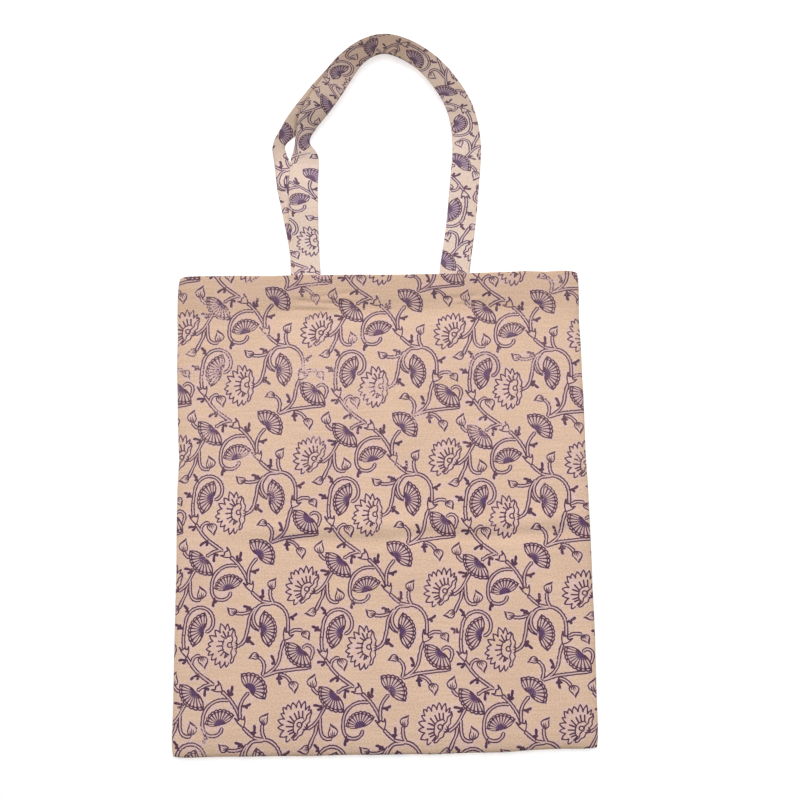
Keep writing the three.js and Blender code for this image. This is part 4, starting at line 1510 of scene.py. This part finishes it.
# Columns: the cloth, the solid it stands for, its slot, its flat size, what it lies on, its stitches.
PIECES = [
    (front_panel, "front_panel", "printed_cotton", PANEL_FLAT, "back_panel_cloth", front_hem_stitches),
    (back_panel, "back_panel", "printed_cotton", PANEL_FLAT, "floor", back_hem_stitches),
    (back_handle, "back_handle", "printed_strap", BACK_FLAT, "floor", back_handle_stitches),
    (front_handle, "front_handle", "printed_strap", FRONT_FLAT, "back_handle_cloth", front_handle_stitches),
]
for cloth, node_name, slot_name, flat_size, under, stitches in PIECES:
    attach(cloth, "root")
    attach(stitches, "root")
    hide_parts(node_name)


# The stage.

floor_mesh = bpy.data.meshes.new("floor")
half = FLOOR_SIZE / 2
corners = [(-half, -half, 0), (half, -half, 0), (half, half, 0), (-half, half, 0)]
floor_mesh.from_pydata(corners, [], [(0, 1, 2, 3)])
floor = add_object("floor", floor_mesh)
floor.location.z = -FLOOR_DROP
floor_paint = Nodes("floor").material
floor_shader = floor_paint.node_tree.nodes["Principled BSDF"].inputs
floor_shader["Base Color"].default_value = (FLOOR_TONE, FLOOR_TONE, FLOOR_TONE, 1)
floor_shader["Roughness"].default_value = 0.9
floor_shader["Specular IOR Level"].default_value = 0.0
floor_shader["Emission Color"].default_value = (1, 1, 1, 1)
floor_shader["Emission Strength"].default_value = FLOOR_GLOW
floor_mesh.materials.append(floor_paint)

world = bpy.data.worlds.new("room")
world.use_nodes = True
world.node_tree.nodes["Background"].inputs["Color"].default_value = (1, 1, 1, 1)
world.node_tree.nodes["Background"].inputs["Strength"].default_value = ROOM_LIGHT
bpy.context.scene.world = world


def add_light(name, kind, power, way):
    """A light that shines along a way."""
    light = add_object(name, bpy.data.lights.new(name, kind))
    light.data.energy = power
    light.rotation_mode = "QUATERNION"
    light.rotation_quaternion = way.to_track_quat("-Z", "Y")
    return light


softbox = add_light("softbox", "AREA", SOFTBOX_POWER, SOFTBOX_AIM - SOFTBOX_PLACE)
softbox.location = SOFTBOX_PLACE
softbox.data.shape = "SQUARE"
softbox.data.size = SOFTBOX_SIZE
window = add_light("window", "SUN", WINDOW_POWER, WINDOW_WAY)
window.data.angle = math.radians(WINDOW_SPREAD)
window.data.use_shadow = False

camera_data = bpy.data.cameras.new("camera")
camera_data.lens = CAMERA_LENS
camera_data.sensor_width = SENSOR
camera_data.clip_start = 0.05
camera_data.clip_end = 50
camera = add_object("camera", camera_data)
tilt, spin = math.radians(CAMERA_TILT), math.radians(CAMERA_ROLL)
level = Vector((1, 0, 0))
steep = Vector((0, math.cos(tilt), math.sin(tilt)))
back = Vector((0, -math.sin(tilt), math.cos(tilt)))
right = level * math.cos(spin) + steep * math.sin(spin)
upward = steep * math.cos(spin) - level * math.sin(spin)
turn = Matrix((right, upward, back)).transposed().to_4x4()
camera.matrix_world = Matrix.Translation(CAMERA_AIM + back * CAMERA_DISTANCE) @ turn
bpy.context.scene.camera = camera
bpy.context.scene.view_settings.view_transform = "Standard"

bpy.context.view_layer.update()
